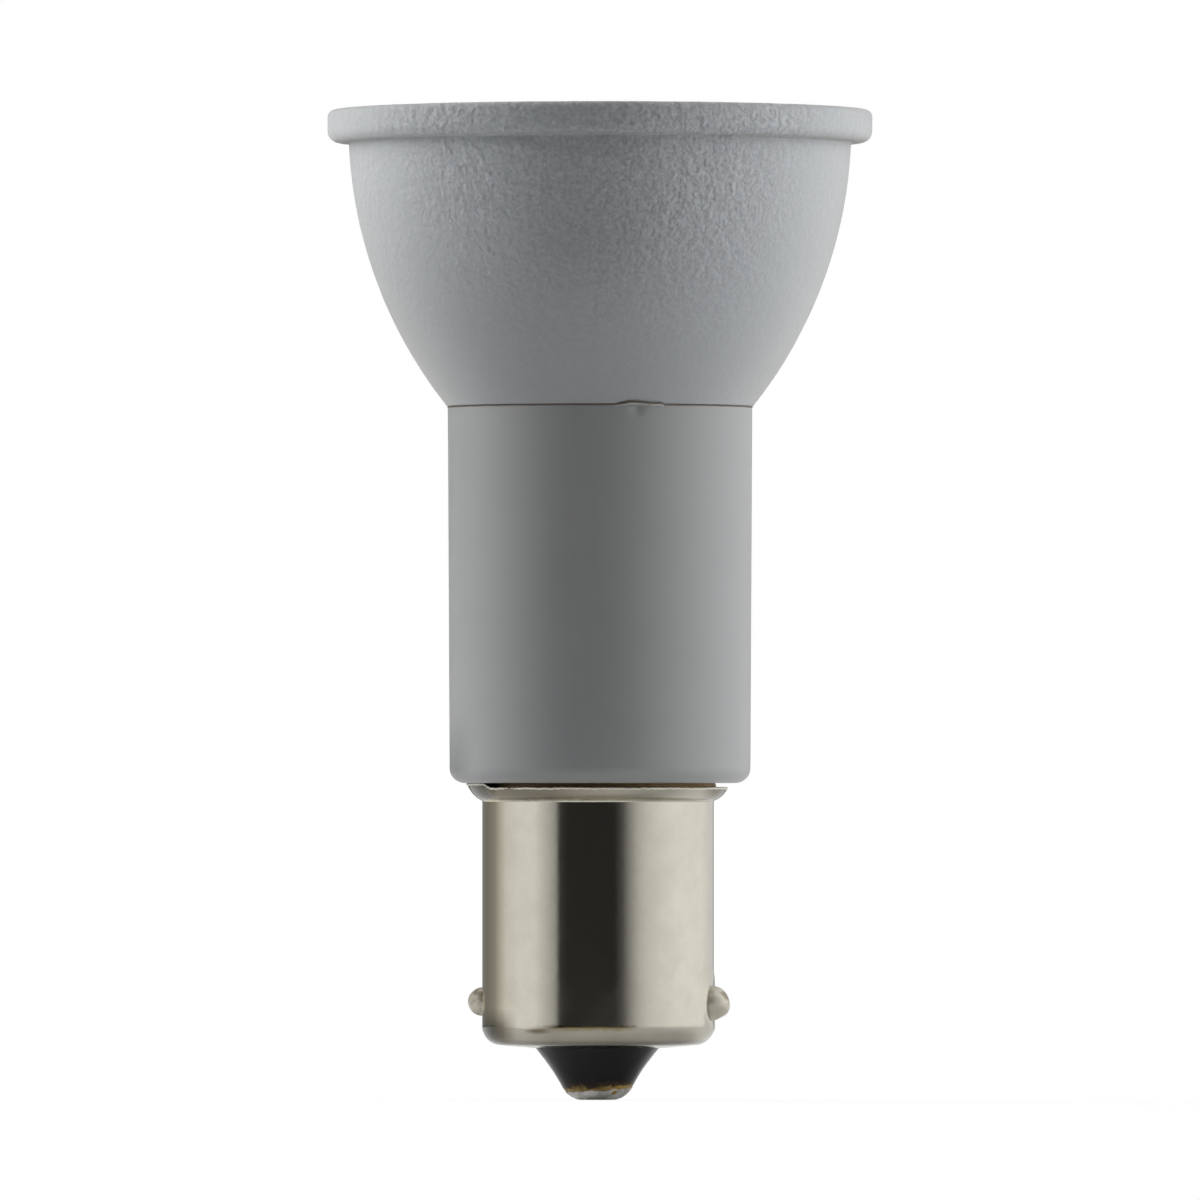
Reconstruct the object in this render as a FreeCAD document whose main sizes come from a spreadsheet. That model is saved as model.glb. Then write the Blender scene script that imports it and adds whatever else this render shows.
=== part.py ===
import FreeCAD, Part
import math
import os
import re
import Sketcher
from FreeCAD import Vector

# Reflector bulb: an LED reflector lamp on a single-contact bayonet cap.
# Millimetres. +Z runs up the lamp's axis, from the tip of the centre contact at z = 0 to the rim.
# The viewer of the lamp's front stands on the -Y side.

# Each size is (name, value, what it measures).
SIZES = [
    # Centre contact
    ("contact_dia", 4.72, "solder dome where it meets the glass"),
    ("contact_flat_dia", 2.4, "flat worn on the dome's tip"),
    ("contact_height", 0.95, "height of the solder dome"),
    ("contact_dome_radius", 1.25, "radius of the dome's side"),
    ("eyelet_flange_dia", 3.6, "flange of the brass eyelet under the glass"),
    ("eyelet_flange_thickness", 0.3, "thickness of that flange"),
    ("eyelet_tube_dia", 1.5, "tube of the eyelet, outside"),
    ("eyelet_rise", 0.3, "tube above the glass"),
    # Glass insulator
    ("glass_height", 2.43, "glass cone below the shell"),
    ("glass_flare_radius", 8.5, "hollow curve of the cone's side"),
    ("glass_cover", 0.07, "glass above the shell's base corner"),
    # Shell
    ("shell_dia", 15.2, "outside diameter of the shell"),
    ("shell_wall", 0.3, "sheet thickness"),
    ("shell_length", 17.1, "from the base hole's edge to the collar's lip"),
    ("base_hole_dia", 8.14, "hole for the glass"),
    ("base_rise", 0.38, "rise of the coned base, hole to side"),
    ("base_corner_radius", 1.15, "outside radius between base and side"),
    ("collar_flare", 0.93, "how far the collar stands out from the side"),
    ("collar_height", 0.95, "height of the collar"),
    ("collar_curve_radius", 1.5, "swell of the collar"),
    ("collar_root_radius", 0.35, "hollow radius under the collar"),
    # Bayonet pins
    ("pin_head_dia", 2.0, "head of a pin"),
    ("pin_shank_dia", 1.8, "shank of a pin, in the shell's hole"),
    ("pin_stand", 1.05, "how far a pin stands out from the shell"),
    ("pin_neck", 0.2, "bare shank between the shell and the head"),
    ("pin_dome", 0.75, "depth of the head's dome"),
    ("pin_tail", 0.5, "pin inside the shell"),
    ("pin_rise", 0.44, "from the glass inside the shell up to the pins' heads"),
    ("pin_turn", -12.0, "turn of the right pin about the axis, degrees"),
    # Neck sleeve
    ("foot_gap", 0.3, "open line between the collar and the sleeve"),
    ("neck_length", 24.8, "visible length of the sleeve"),
    ("neck_top_dia", 20.0, "sleeve diameter at the bell"),
    ("neck_taper", 0.24, "loss of diameter down to the foot"),
    ("neck_foot_radius", 1.0, "rounding of the sleeve's foot"),
    ("neck_wall", 1.2, "sleeve wall"),
    ("neck_floor", 1.5, "floor of the sleeve round the spigot"),
    ("neck_edge_radius", 0.12, "rounding of the sleeve's top edge"),
    ("spigot_length", 6.0, "spigot inside the shell"),
    ("spigot_wall", 1.1, "wall of the spigot"),
    ("cement_thickness", 0.2, "cement between spigot and shell"),
    ("cement_end_gap", 0.5, "bare spigot below the cement"),
    ("guide_depth", 1.4, "board guide, from the wall inward"),
    ("guide_width", 2.8, "board guide, across the board"),
    ("guide_clearance", 0.05, "play of the board in its slot"),
    # Bell
    ("joint_gap", 0.2, "height of the shadow line between sleeve and bell"),
    ("joint_depth", 0.35, "depth of that line"),
    ("bell_lip", 0.05, "bell beyond the sleeve at the joint"),
    ("bell_height", 17.15, "from the joint to the underside of the rim"),
    ("bell_curve_radius", 29.7, "side curve of the bell"),
    ("rim_dia", 35.8, "diameter of the rim"),
    ("rim_height", 2.25, "height of the rim's band"),
    ("rim_overhang", 1.4, "rim beyond the bell's side"),
    ("rim_upper_radius", 0.45, "rounding of the rim's upper edge"),
    ("rim_lower_radius", 0.75, "rounding of the rim's lower edge"),
    ("rim_land", 1.9, "flat top of the rim, outside the lens ring"),
    ("seat_depth", 2.3, "lens ledge below the rim's top"),
    ("ledge_width", 1.5, "width of the lens ledge"),
    ("cavity_radius", 28.0, "side curve of the bell's cavity"),
    ("floor_height", 5.0, "cavity floor above the joint"),
    ("floor_thickness", 2.0, "bell's floor under the LED"),
    ("floor_step", 0.85, "cavity floor beyond the sleeve's radius"),
    ("skirt_length", 4.0, "bell's skirt inside the sleeve"),
    ("skirt_wall", 1.2, "wall of the skirt"),
    ("fit_clearance", 0.03, "play between a piece and its seat"),
    # LED and its board
    ("thermal_pad_thickness", 0.2, "pad under the LED board"),
    ("thermal_pad_inset", 0.5, "pad's edge inside the board's edge"),
    ("led_board_play", 0.3, "board's edge to the cavity wall"),
    ("led_board_thickness", 1.0, "metal-core board"),
    ("led_width", 7.0, "side of the square LED package"),
    ("led_height", 0.7, "height of the package"),
    ("phosphor_dia", 5.2, "light-giving disc"),
    ("phosphor_height", 0.3, "height of that disc"),
    ("screw_inset", 2.3, "board screw's axis from the board's edge"),
    ("screw_dia", 2.0, "board screw"),
    ("screw_reach", 3.0, "screw in the bell's floor"),
    ("screw_head_dia", 3.6, "head of the screw"),
    ("screw_head_height", 1.2, "height of the head"),
    ("screw_recess", 0.6, "width of an arm of the cross recess"),
    ("screw_drill_spare", 0.5, "drilled hole beyond the screw's end"),
    # Lens and its ring
    ("flange_thickness", 1.1, "lens flange on the ledge"),
    ("ring_height", 1.0, "lens ring"),
    ("ring_width", 1.6, "lens ring, from outside to inside"),
    ("ring_edge_radius", 0.3, "rounding of the ring's inner edge"),
    ("lens_play", 0.1, "lens to the ring and to the seat"),
    ("lens_face_rise", 0.6, "lens face above its flange"),
    ("lens_crown", 0.35, "extra height of the face at its middle"),
    ("lens_gap", 0.4, "lens above the LED"),
    ("lens_foot_dia", 8.6, "lower end of the lens"),
    ("lens_side_radius", 20.0, "swell of the lens's side"),
    ("recess_dia", 7.2, "mouth of the hollow over the LED"),
    ("recess_top_dia", 6.2, "top of that hollow"),
    ("recess_depth", 4.2, "depth of that hollow"),
    ("recess_dome", 0.8, "dome that hangs into the hollow"),
    # Driver board and its parts
    ("driver_thickness", 1.0, "circuit board"),
    ("driver_side_gap", 0.4, "board's edge to the sleeve's bore"),
    ("driver_end_gap", 0.3, "board's top to the bell's skirt"),
    ("part_spacing", 1.0, "from one soldered part to the next"),
    ("inductor_dia", 6.5, "flanges of the drum core"),
    ("inductor_height", 5.0, "drum core off the board"),
    ("inductor_flange", 0.8, "thickness of a flange"),
    ("inductor_waist_dia", 3.0, "core inside the winding"),
    ("winding_dia", 5.7, "outside of the copper winding"),
    ("inductor_rise", 2.0, "inductor's edge above the board's foot"),
    ("capacitor_dia", 6.3, "electrolytic can"),
    ("capacitor_length", 8.6, "length of the can"),
    ("capacitor_groove", 0.35, "depth of the rolled groove"),
    ("capacitor_edge_radius", 0.4, "rounding of the can's closed end"),
    ("bridge_length", 3.9, "bridge rectifier, along the board"),
    ("bridge_width", 4.7, "bridge rectifier, across the board"),
    ("bridge_height", 2.4, "bridge rectifier, off the board"),
    ("chip_length", 2.9, "driver chip, along the board"),
    ("chip_width", 1.6, "driver chip, across the board"),
    ("chip_height", 1.1, "driver chip, off the board"),
    ("diode_length", 4.3, "rectifier diode, along the board"),
    ("diode_width", 2.6, "rectifier diode, across the board"),
    ("diode_height", 2.1, "rectifier diode, off the board"),
    ("mould_draft", 6.0, "draft of these moulded parts, degrees"),
    ("leg_width", 0.5, "width of their legs"),
    ("leg_thickness", 0.2, "thickness of their legs"),
    ("leg_reach", 0.9, "legs beyond the moulded block"),
    ("ceramic_length", 2.0, "ceramic part, along the board"),
    ("ceramic_width", 1.25, "ceramic part, across the board"),
    ("ceramic_height", 0.6, "ceramic part, off the board"),
    # Wires
    ("wire_dia", 0.8, "lead, over its insulation"),
    ("wire_hole_play", 0.35, "lead hole round a lead"),
    ("lead_inset", 1.27, "LED leads' axes inside the skirt's bore"),
    ("lead_overlap", 3.0, "lead soldered along the driver board"),
    ("lead_rise", 0.3, "straight lead above the LED board"),
    ("lead_hook_radius", 1.05, "bend over to the board's solder pad"),
    ("tap_overlap", 2.2, "cap leads soldered along the driver board"),
    ("jog_height", 4.0, "height over which the centre lead moves to the axis"),
    ("jog_start", 3.0, "centre lead below the board's foot, before the jog"),
    ("side_lead_inset", 1.4, "side lead's axis inside the spigot's bore"),
    ("side_lead_bend_radius", 1.5, "bend of the side lead towards the shell"),
    ("side_lead_drop", 3.0, "side lead's end below the spigot"),
    ("side_lead_end_gap", 0.4, "side lead's end short of the shell"),
    ("side_solder_dia", 2.4, "solder joint on the shell's inner wall"),
]

DOC = FreeCAD.newDocument("reflector_bulb")
SHEET = DOC.addObject("Spreadsheet::Sheet", "Sizes")
SUBPARTS = []
MATCH = 1e-4
SIZE_WORDS = re.compile(r"\b(" + "|".join(name for name, _, _ in SIZES) + r")\b")

# Heights and radii that several pieces share, as expressions of the sizes.
GLASS_TOP = "(base_rise + base_corner_radius + glass_cover)"
BASE = "(contact_height + glass_height)"
PIN_AXIS = f"({GLASS_TOP} + pin_rise + pin_head_dia / 2)"
NECK_FOOT = f"({BASE} + shell_length + foot_gap)"
JOINT = f"({NECK_FOOT} + neck_length)"
SHELL_BORE = "(shell_dia / 2 - shell_wall)"
SPIGOT = f"({SHELL_BORE} - cement_thickness)"
SPIGOT_BORE = f"({SPIGOT} - spigot_wall)"
SIDE_LEAD = f"({SPIGOT_BORE} - side_lead_inset)"
NECK_BORE = "(neck_top_dia / 2 - neck_wall)"
GUIDE_FACE = f"({NECK_BORE} - guide_depth)"
SKIRT = f"({NECK_BORE} - fit_clearance)"
SKIRT_BORE = f"({SKIRT} - skirt_wall)"
LED_LEAD = f"({SKIRT_BORE} - lead_inset)"
BELL_FOOT = "(neck_top_dia / 2 + bell_lip)"
RIM_TOP = "(bell_height + rim_height)"
LEDGE = f"({RIM_TOP} - seat_depth)"
SEAT = "(rim_dia / 2 - rim_land)"
CAVITY_MOUTH = f"({SEAT} - ledge_width)"
CAVITY_FLOOR = "(neck_top_dia / 2 + floor_step)"
LED_BOARD = f"({CAVITY_FLOOR} - led_board_play)"
LED_BOARD_TOP = "(floor_height + thermal_pad_thickness + led_board_thickness)"
LED_TOP = f"({LED_BOARD_TOP} + led_height + phosphor_height)"
SCREW_PLACE = f"({LED_BOARD} - screw_inset)"
DRIVER_FOOT = f"({NECK_FOOT} + neck_floor)"
DRIVER_LENGTH = "(neck_length - neck_floor - skirt_length - driver_end_gap)"
DRIVER_WIDTH = f"(2 * ({NECK_BORE} - driver_side_gap))"
WIRE_OFFSET = "((driver_thickness + wire_dia) / 2)"
# The soldered parts stand in rows: the first row's height on the board, and the middles of the
# strips between the guides and the large part on the board's front or back.
FIRST_ROW = "(tap_overlap + part_spacing)"
FRONT_STRIP = f"((inductor_dia / 2 + {GUIDE_FACE}) / 2)"
BACK_STRIP = f"((capacitor_dia / 2 + {GUIDE_FACE}) / 2)"


def bound(text):
    """The expression with each size's name pointing at its cell."""
    return SIZE_WORDS.sub(r"Sizes.\1", text)


def value(text):
    """The expression's present value."""
    return float(SHEET.evalExpression(bound(text)))


def fill_sheet():
    """One row for each size: what it measures, and its value under the size's name."""
    for row, (name, size, meaning) in enumerate(SIZES, 1):
        SHEET.set(f"A{row}", meaning)
        SHEET.set(f"B{row}", str(size))
        SHEET.setAlias(f"B{row}", name)
    DOC.recompute()


def new_body(name):
    """An empty body that becomes one sub-part."""
    body = DOC.addObject("PartDesign::Body", name)
    body.Label = name
    SUBPARTS.append(body)
    return body


def origin_plane(body, role):
    """The body's own origin plane with this role."""
    return next(part for part in body.Origin.OriginFeatures if part.Role == role)


def arc_between(start, end, radius):
    """Arc from start to end: it turns left for a positive radius and right for a negative one."""
    along = end - start
    left = Vector(-along.y, along.x, 0).normalize()
    reach = math.sqrt(radius ** 2 - (along.Length / 2) ** 2)
    centre = (start + end) / 2 + left * math.copysign(reach, radius)
    circle = Part.Circle(centre, Vector(0, 0, 1), abs(radius))
    first, last = (start, end) if radius > 0 else (end, start)
    return Part.ArcOfCircle(circle, circle.parameter(first), circle.parameter(last))


def empty_sketch(body, name, plane, lift=None):
    """Sketch on one of the body's origin planes, lifted off it where lift is given."""
    sketch = body.newObject("Sketcher::SketchObject", name)
    sketch.AttachmentSupport = (origin_plane(body, plane), [""])
    sketch.MapMode = "FlatFace"
    if lift:
        sketch.setExpression("AttachmentOffset.Base.z", bound(lift))
    return sketch


def pin_point(sketch, point, corner):
    """Hold the point at the corner's two distances from the sketch's origin."""
    for axis, text in zip("XY", corner):
        if text == "0":
            sketch.addConstraint(Sketcher.Constraint("PointOnObject", *point, -2 if axis == "X" else -1))
            continue
        size = value(text)
        ends = (-1, 1, *point) if size > 0 else (*point, -1, 1)
        index = sketch.addConstraint(Sketcher.Constraint("Distance" + axis, *ends, abs(size)))
        sketch.setExpression(f"Constraints[{index}]", bound(text if size > 0 else f"-({text})"))


def outline(body, name, corners, plane="XZ_Plane", closed=True, lift=None):
    """Sketch whose lines and arcs join the corners.

    A corner is (across, up), or (across, up, radius) where an arc of that radius runs on to the
    next corner. The arc turns left, or right where the radius begins with a minus sign.
    """
    sketch = empty_sketch(body, name, plane, lift)
    places = [Vector(value(corner[0]), value(corner[1]), 0) for corner in corners]
    count = len(corners) if closed else len(corners) - 1
    ends = []
    for index in range(count):
        start, end = places[index], places[(index + 1) % len(places)]
        if len(corners[index]) == 3:
            radius = corners[index][2]
            edge = sketch.addGeometry(arc_between(start, end, value(radius)), False)
            ends.append(((edge, 1), (edge, 2)) if radius[0] != "-" else ((edge, 2), (edge, 1)))
            held = sketch.addConstraint(Sketcher.Constraint("Radius", edge, abs(value(radius))))
            sketch.setExpression(f"Constraints[{held}]", bound(radius.lstrip("-")))
        else:
            edge = sketch.addGeometry(Part.LineSegment(start, end), False)
            ends.append(((edge, 1), (edge, 2)))
    for index in range(count):
        pin_point(sketch, ends[index][0], corners[index])
        if index + 1 < count or closed:
            following = ends[(index + 1) % count][0]
            sketch.addConstraint(Sketcher.Constraint("Coincident", *ends[index][1], *following))
    if not closed:
        pin_point(sketch, ends[-1][1], corners[-1])
    return sketch


def circles(body, name, centres, radius, plane="XY_Plane", lift=None):
    """Sketch of equal circles at the centres."""
    sketch = empty_sketch(body, name, plane, lift)
    for centre in centres:
        place = Vector(value(centre[0]), value(centre[1]), 0)
        edge = sketch.addGeometry(Part.Circle(place, Vector(0, 0, 1), value(radius)), False)
        held = sketch.addConstraint(Sketcher.Constraint("Radius", edge, value(radius)))
        sketch.setExpression(f"Constraints[{held}]", bound(radius))
        pin_point(sketch, (edge, 3), centre)
    return sketch


def box_corners(left, low, right, high):
    """The four corners of a rectangle."""
    return [(left, low), (right, low), (right, high), (left, high)]


def revolve(body, corners, axis="V_Axis"):
    """Solid of revolution of the outline, about the body's Z axis or, with H_Axis, its X axis."""
    sketch = outline(body, "Profile", corners)
    solid = body.newObject("PartDesign::Revolution", "Turned")
    solid.Profile = sketch
    solid.ReferenceAxis = (sketch, [axis])
    solid.Angle = 360
    DOC.recompute()
    return solid


def pad(body, sketch, length, reverse=False, taper=None):
    """Pad of the sketch."""
    solid = body.newObject("PartDesign::Pad", "Pad")
    solid.Profile = sketch
    solid.Reversed = reverse
    solid.setExpression("Length", bound(length))
    if taper:
        solid.setExpression("TaperAngle", bound(taper))
    DOC.recompute()
    return solid


def pocket(body, sketch, length, reverse=False, both_ways=False):
    """Pocket of the sketch, which has to take material away."""
    before = body.Shape.Volume
    cut = body.newObject("PartDesign::Pocket", "Pocket")
    cut.Profile = sketch
    cut.Reversed = reverse
    if both_ways:
        cut.SideType = "Symmetric"
    cut.setExpression("Length", bound(length))
    DOC.recompute()
    if not body.Shape.Volume < before - MATCH:
        raise RuntimeError(f"a pocket in {body.Label} cuts nothing")
    return cut


def ring_edge(feature, radius, height):
    """Name of the feature's round edge of this radius at this height."""
    for number, edge in enumerate(feature.Shape.Edges, 1):
        curve = edge.Curve
        if (isinstance(curve, Part.Circle) and abs(curve.Radius - value(radius)) < MATCH
                and abs(curve.Center.z - value(height)) < MATCH):
            return f"Edge{number}"
    raise RuntimeError(f"no round edge of radius {radius} at height {height}")


def fillet(body, feature, edge, radius):
    """Round one edge of the feature."""
    round_edge = body.newObject("PartDesign::Fillet", "Fillet")
    round_edge.Base = (feature, [edge])
    round_edge.setExpression("Radius", bound(radius))
    DOC.recompute()
    return round_edge


def place(part, across="0", depth="0", height="0", axis=Vector(0, 0, 1), turn="0"):
    """Put the sub-part at its place in the lamp, turned about the axis by turn degrees."""
    part.Placement.Rotation = FreeCAD.Rotation(axis, value(turn))
    if turn != "0":
        part.setExpression("Placement.Rotation.Angle", bound(turn))
    for letter, text in zip("xyz", (across, depth, height)):
        part.setExpression(f"Placement.Base.{letter}", bound(text))


def primitive(kind, name, **sizes):
    """Basic solid of the document, with its sizes bound to the sheet."""
    solid = DOC.addObject(kind, name)
    for size, text in sizes.items():
        solid.setExpression(size, bound(text))
    return solid


def group(name, members):
    """Separate like solids as one sub-part."""
    compound = DOC.addObject("Part::Compound", name)
    compound.Label = name
    compound.Links = members
    SUBPARTS.append(compound)


def make_contact():
    """Solder dome of the centre contact, the eyelet under it and the glass round the eyelet."""
    solder = new_body("contact_solder")
    tip = "contact_flat_dia / 2"
    recess = "contact_height - eyelet_flange_thickness"
    flange = "eyelet_flange_dia / 2"
    revolve(solder, [
        ("0", "0"),
        (tip, "0", "contact_dome_radius"),
        ("contact_dia / 2", "contact_height"),
        (flange, "contact_height"),
        (flange, recess),
        ("0", recess),
    ])

    plate = new_body("contact_plate")
    bore = "wire_dia / 2 + fit_clearance"
    tube_top = f"glass_height + {GLASS_TOP} + eyelet_rise"
    revolve(plate, [
        (bore, "-eyelet_flange_thickness"),
        (flange, "-eyelet_flange_thickness"),
        (flange, "0"),
        ("eyelet_tube_dia / 2", "0"),
        ("eyelet_tube_dia / 2", tube_top),
        (bore, tube_top),
    ])
    place(plate, height="contact_height")

    glass = new_body("cap_insulator")
    hole = "eyelet_tube_dia / 2 + fit_clearance"
    neck = "base_hole_dia / 2 - fit_clearance"
    side = f"{SHELL_BORE} - fit_clearance"
    inner_base = "shell_wall + fit_clearance"
    corner_height = (f"{inner_base} + base_rise * ({SHELL_BORE} - base_hole_dia / 2)"
                     " / (shell_dia / 2 - base_hole_dia / 2)")
    turned = revolve(glass, [
        (hole, "-glass_height"),
        ("contact_dia / 2", "-glass_height", "-glass_flare_radius"),
        (neck, "0"),
        (neck, inner_base),
        (side, corner_height),
        (side, GLASS_TOP),
        (hole, GLASS_TOP),
    ])
    fillet(glass, turned, ring_edge(turned, side, corner_height), "base_corner_radius - shell_wall")
    place(glass, height=BASE)


def make_shell():
    """Drawn shell of the cap: coned base with its hole, straight side and flared collar."""
    shell = new_body("cap_shell")
    side = "shell_dia / 2"
    collar_root = "shell_length - collar_height"
    hole = "base_hole_dia / 2"
    turned = revolve(shell, [
        ("0", "0"),
        (hole, "0"),
        (side, "base_rise"),
        (side, collar_root, "collar_curve_radius"),
        (f"{side} + collar_flare", "shell_length"),
        ("0", "shell_length"),
    ])
    rounded = fillet(shell, turned, ring_edge(turned, side, "base_rise"), "base_corner_radius")
    rounded = fillet(shell, rounded, ring_edge(rounded, side, collar_root), "collar_root_radius")
    mouth = max(range(len(rounded.Shape.Faces)), key=lambda i: rounded.Shape.Faces[i].CenterOfMass.z)
    sheet = shell.newObject("PartDesign::Thickness", "SheetWall")
    sheet.Base = (rounded, [f"Face{mouth + 1}"])
    sheet.setExpression("Value", bound("shell_wall"))
    sheet.Reversed = True
    DOC.recompute()
    base_hole = circles(shell, "BaseHole", [("0", "0")], hole)
    pocket(shell, base_hole, "shell_wall * 2", reverse=True)
    pin_holes = circles(shell, "PinHoles", [("0", PIN_AXIS)], "pin_shank_dia / 2 + fit_clearance",
                        "YZ_Plane")
    pocket(shell, pin_holes, "shell_dia * 2", both_ways=True)
    place(shell, height=BASE, turn="pin_turn")


def make_pins():
    """The two bayonet pins, set through the shell's holes."""
    for name, turn in (("bayonet_pin_right", "pin_turn"), ("bayonet_pin_left", "pin_turn + 180")):
        pin = new_body(name)
        shank = "pin_shank_dia / 2"
        head = "pin_head_dia / 2"
        head_back = "shell_dia / 2 + pin_neck"
        tip = "shell_dia / 2 + pin_stand"
        tail = f"{SHELL_BORE} - pin_tail"
        revolve(pin, [
            (tail, "0"),
            (tip, "0", f"(pin_dome ^ 2 + ({head}) ^ 2) / (2 * pin_dome)"),
            (f"{tip} - pin_dome", head),
            (head_back, head),
            (head_back, shank),
            (tail, shank),
        ], axis="H_Axis")
        place(pin, height=f"{BASE} + {PIN_AXIS}", turn=turn)


def make_sleeve():
    """Moulded sleeve: tapered neck, floor, spigot in the cap, and two guides for the driver board."""
    sleeve = new_body("neck_sleeve")
    foot = "(neck_top_dia - neck_taper) / 2"
    top = "neck_top_dia / 2"
    revolve(sleeve, [
        (SPIGOT_BORE, "-spigot_length"),
        (SPIGOT, "-spigot_length"),
        (SPIGOT, "0"),
        (f"{foot} - neck_foot_radius", "0", "neck_foot_radius"),
        (foot, "neck_foot_radius"),
        (top, "neck_length - neck_edge_radius", "neck_edge_radius"),
        (f"{top} - neck_edge_radius", "neck_length"),
        (NECK_BORE, "neck_length"),
        (NECK_BORE, "neck_floor"),
        (SPIGOT_BORE, "neck_floor"),
    ])
    guide = outline(sleeve, "Guide", box_corners(
        GUIDE_FACE, "-guide_width / 2",
        f"{NECK_BORE} + neck_wall / 2", "guide_width / 2"), "XY_Plane", lift="neck_floor / 2")
    guide_pad = pad(sleeve, guide, f"neck_floor / 2 + {DRIVER_LENGTH}")
    guides = sleeve.newObject("PartDesign::PolarPattern", "Guides")
    guides.Originals = [guide_pad]
    guides.Axis = (guide, ["N_Axis"])
    guides.Angle = 360
    guides.Occurrences = 2
    sleeve.Tip = guides
    DOC.recompute()
    half_slot = "driver_thickness / 2 + guide_clearance"
    slot = outline(sleeve, "Slot", box_corners(
        f"-({DRIVER_WIDTH} / 2 + guide_clearance)", f"-({half_slot})",
        f"{DRIVER_WIDTH} / 2 + guide_clearance", half_slot), "XY_Plane", lift="neck_floor")
    pocket(sleeve, slot, "neck_length", reverse=True)
    place(sleeve, height=NECK_FOOT)

    cement = new_body("cap_cement")
    low = "cement_end_gap - spigot_length"
    high = "-(foot_gap + collar_height)"
    revolve(cement, [(SPIGOT, low), (SHELL_BORE, low), (SHELL_BORE, high), (SPIGOT, high)])
    place(cement, height=NECK_FOOT)


def make_bell():
    """Die-cast bell: skirt in the sleeve, floor under the LED, curved side, and rim with the lens seat."""
    bell = new_body("bell_housing")
    under_floor = "floor_height - floor_thickness"
    line_depth = f"{BELL_FOOT} - bell_lip - joint_depth"
    rim = "rim_dia / 2"
    revolve(bell, [
        (SKIRT_BORE, "-skirt_length"),
        (SKIRT, "-skirt_length"),
        (SKIRT, "0"),
        (line_depth, "0"),
        (line_depth, "joint_gap"),
        (BELL_FOOT, "joint_gap", "bell_curve_radius"),
        (f"{rim} - rim_overhang", "bell_height"),
        (f"{rim} - rim_lower_radius", "bell_height", "rim_lower_radius"),
        (rim, "bell_height + rim_lower_radius"),
        (rim, f"{RIM_TOP} - rim_upper_radius", "rim_upper_radius"),
        (f"{rim} - rim_upper_radius", RIM_TOP),
        (SEAT, RIM_TOP),
        (SEAT, LEDGE),
        (CAVITY_MOUTH, LEDGE, "-cavity_radius"),
        (CAVITY_FLOOR, "floor_height"),
        ("0", "floor_height"),
        ("0", under_floor),
        (SKIRT_BORE, under_floor),
    ])
    lead_centres = [(LED_LEAD, f"-{WIRE_OFFSET}"), (f"-{LED_LEAD}", f"-{WIRE_OFFSET}")]
    lead_holes = circles(bell, "LeadHoles", lead_centres, "wire_dia / 2 + wire_hole_play",
                         lift=under_floor)
    pocket(bell, lead_holes, "floor_thickness * 2", reverse=True)
    screw_holes = circles(bell, "ScrewHoles", [("0", SCREW_PLACE), ("0", f"-{SCREW_PLACE}")],
                          "screw_dia / 2 + fit_clearance", lift="floor_height")
    pocket(bell, screw_holes, "screw_reach + screw_drill_spare")
    place(bell, height=JOINT)
    return lead_centres


def holed_disc(name, radius, thickness, height, lead_centres):
    """Disc on the bell's floor, with holes for the LED leads and the board screws."""
    disc = new_body(name)
    pad(disc, circles(disc, "Edge", [("0", "0")], radius), thickness)
    lead_holes = circles(disc, "LeadHoles", lead_centres, "wire_dia / 2 + wire_hole_play")
    pocket(disc, lead_holes, thickness, reverse=True)
    screw_holes = circles(disc, "ScrewHoles", [("0", SCREW_PLACE), ("0", f"-{SCREW_PLACE}")],
                          "screw_dia / 2 + fit_clearance")
    pocket(disc, screw_holes, thickness, reverse=True)
    place(disc, height=height)


def make_led(lead_centres):
    """LED package and phosphor on their board, with the thermal pad and the two board screws."""
    floor = f"{JOINT} + floor_height"
    holed_disc("thermal_pad", f"{LED_BOARD} - thermal_pad_inset", "thermal_pad_thickness", floor,
               lead_centres)
    holed_disc("led_board", LED_BOARD, "led_board_thickness", f"{floor} + thermal_pad_thickness",
               lead_centres)

    substrate = new_body("led_substrate")
    side = "led_width / 2"
    square = outline(substrate, "Square", box_corners(f"-{side}", f"-{side}", side, side), "XY_Plane")
    pad(substrate, square, "led_height")
    place(substrate, height=f"{JOINT} + {LED_BOARD_TOP}")

    phosphor = new_body("led_phosphor")
    edge = "phosphor_dia / 2"
    revolve(phosphor, [
        ("0", "0"),
        (edge, "0"),
        (edge, "phosphor_height / 2"),
        (f"{edge} - phosphor_height / 2", "phosphor_height"),
        ("0", "phosphor_height"),
    ])
    place(phosphor, height=f"{JOINT} + {LED_BOARD_TOP} + led_height")

    screws = []
    for side_name, way in (("front", "-"), ("back", "")):
        screws.append(board_screw(f"board_screw_{side_name}", f"{way}{SCREW_PLACE}"))
    group("board_screws", screws)


def board_screw(name, depth):
    """Pan-head screw with a cross recess."""
    screw = DOC.addObject("PartDesign::Body", name)
    head = "screw_head_dia / 2"
    head_edge = "screw_head_height / 2"
    reach = "-(led_board_thickness + thermal_pad_thickness + screw_reach)"
    revolve(screw, [
        ("0", reach),
        ("screw_dia / 2", reach),
        ("screw_dia / 2", "0"),
        (head, "0"),
        (head, f"screw_head_height - {head_edge}", head_edge),
        (f"{head} - {head_edge}", "screw_head_height"),
        ("0", "screw_head_height"),
    ])
    arm = f"{head} - {head_edge}"
    half_width = "screw_recess / 2"
    for left, low in ((arm, half_width), (half_width, arm)):
        slot = outline(screw, "RecessArm", box_corners(f"-({left})", f"-({low})", left, low),
                       "XY_Plane", lift="screw_head_height")
        pocket(screw, slot, "screw_recess")
    place(screw, depth=depth, height=f"{JOINT} + {LED_BOARD_TOP}")
    return screw


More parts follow.
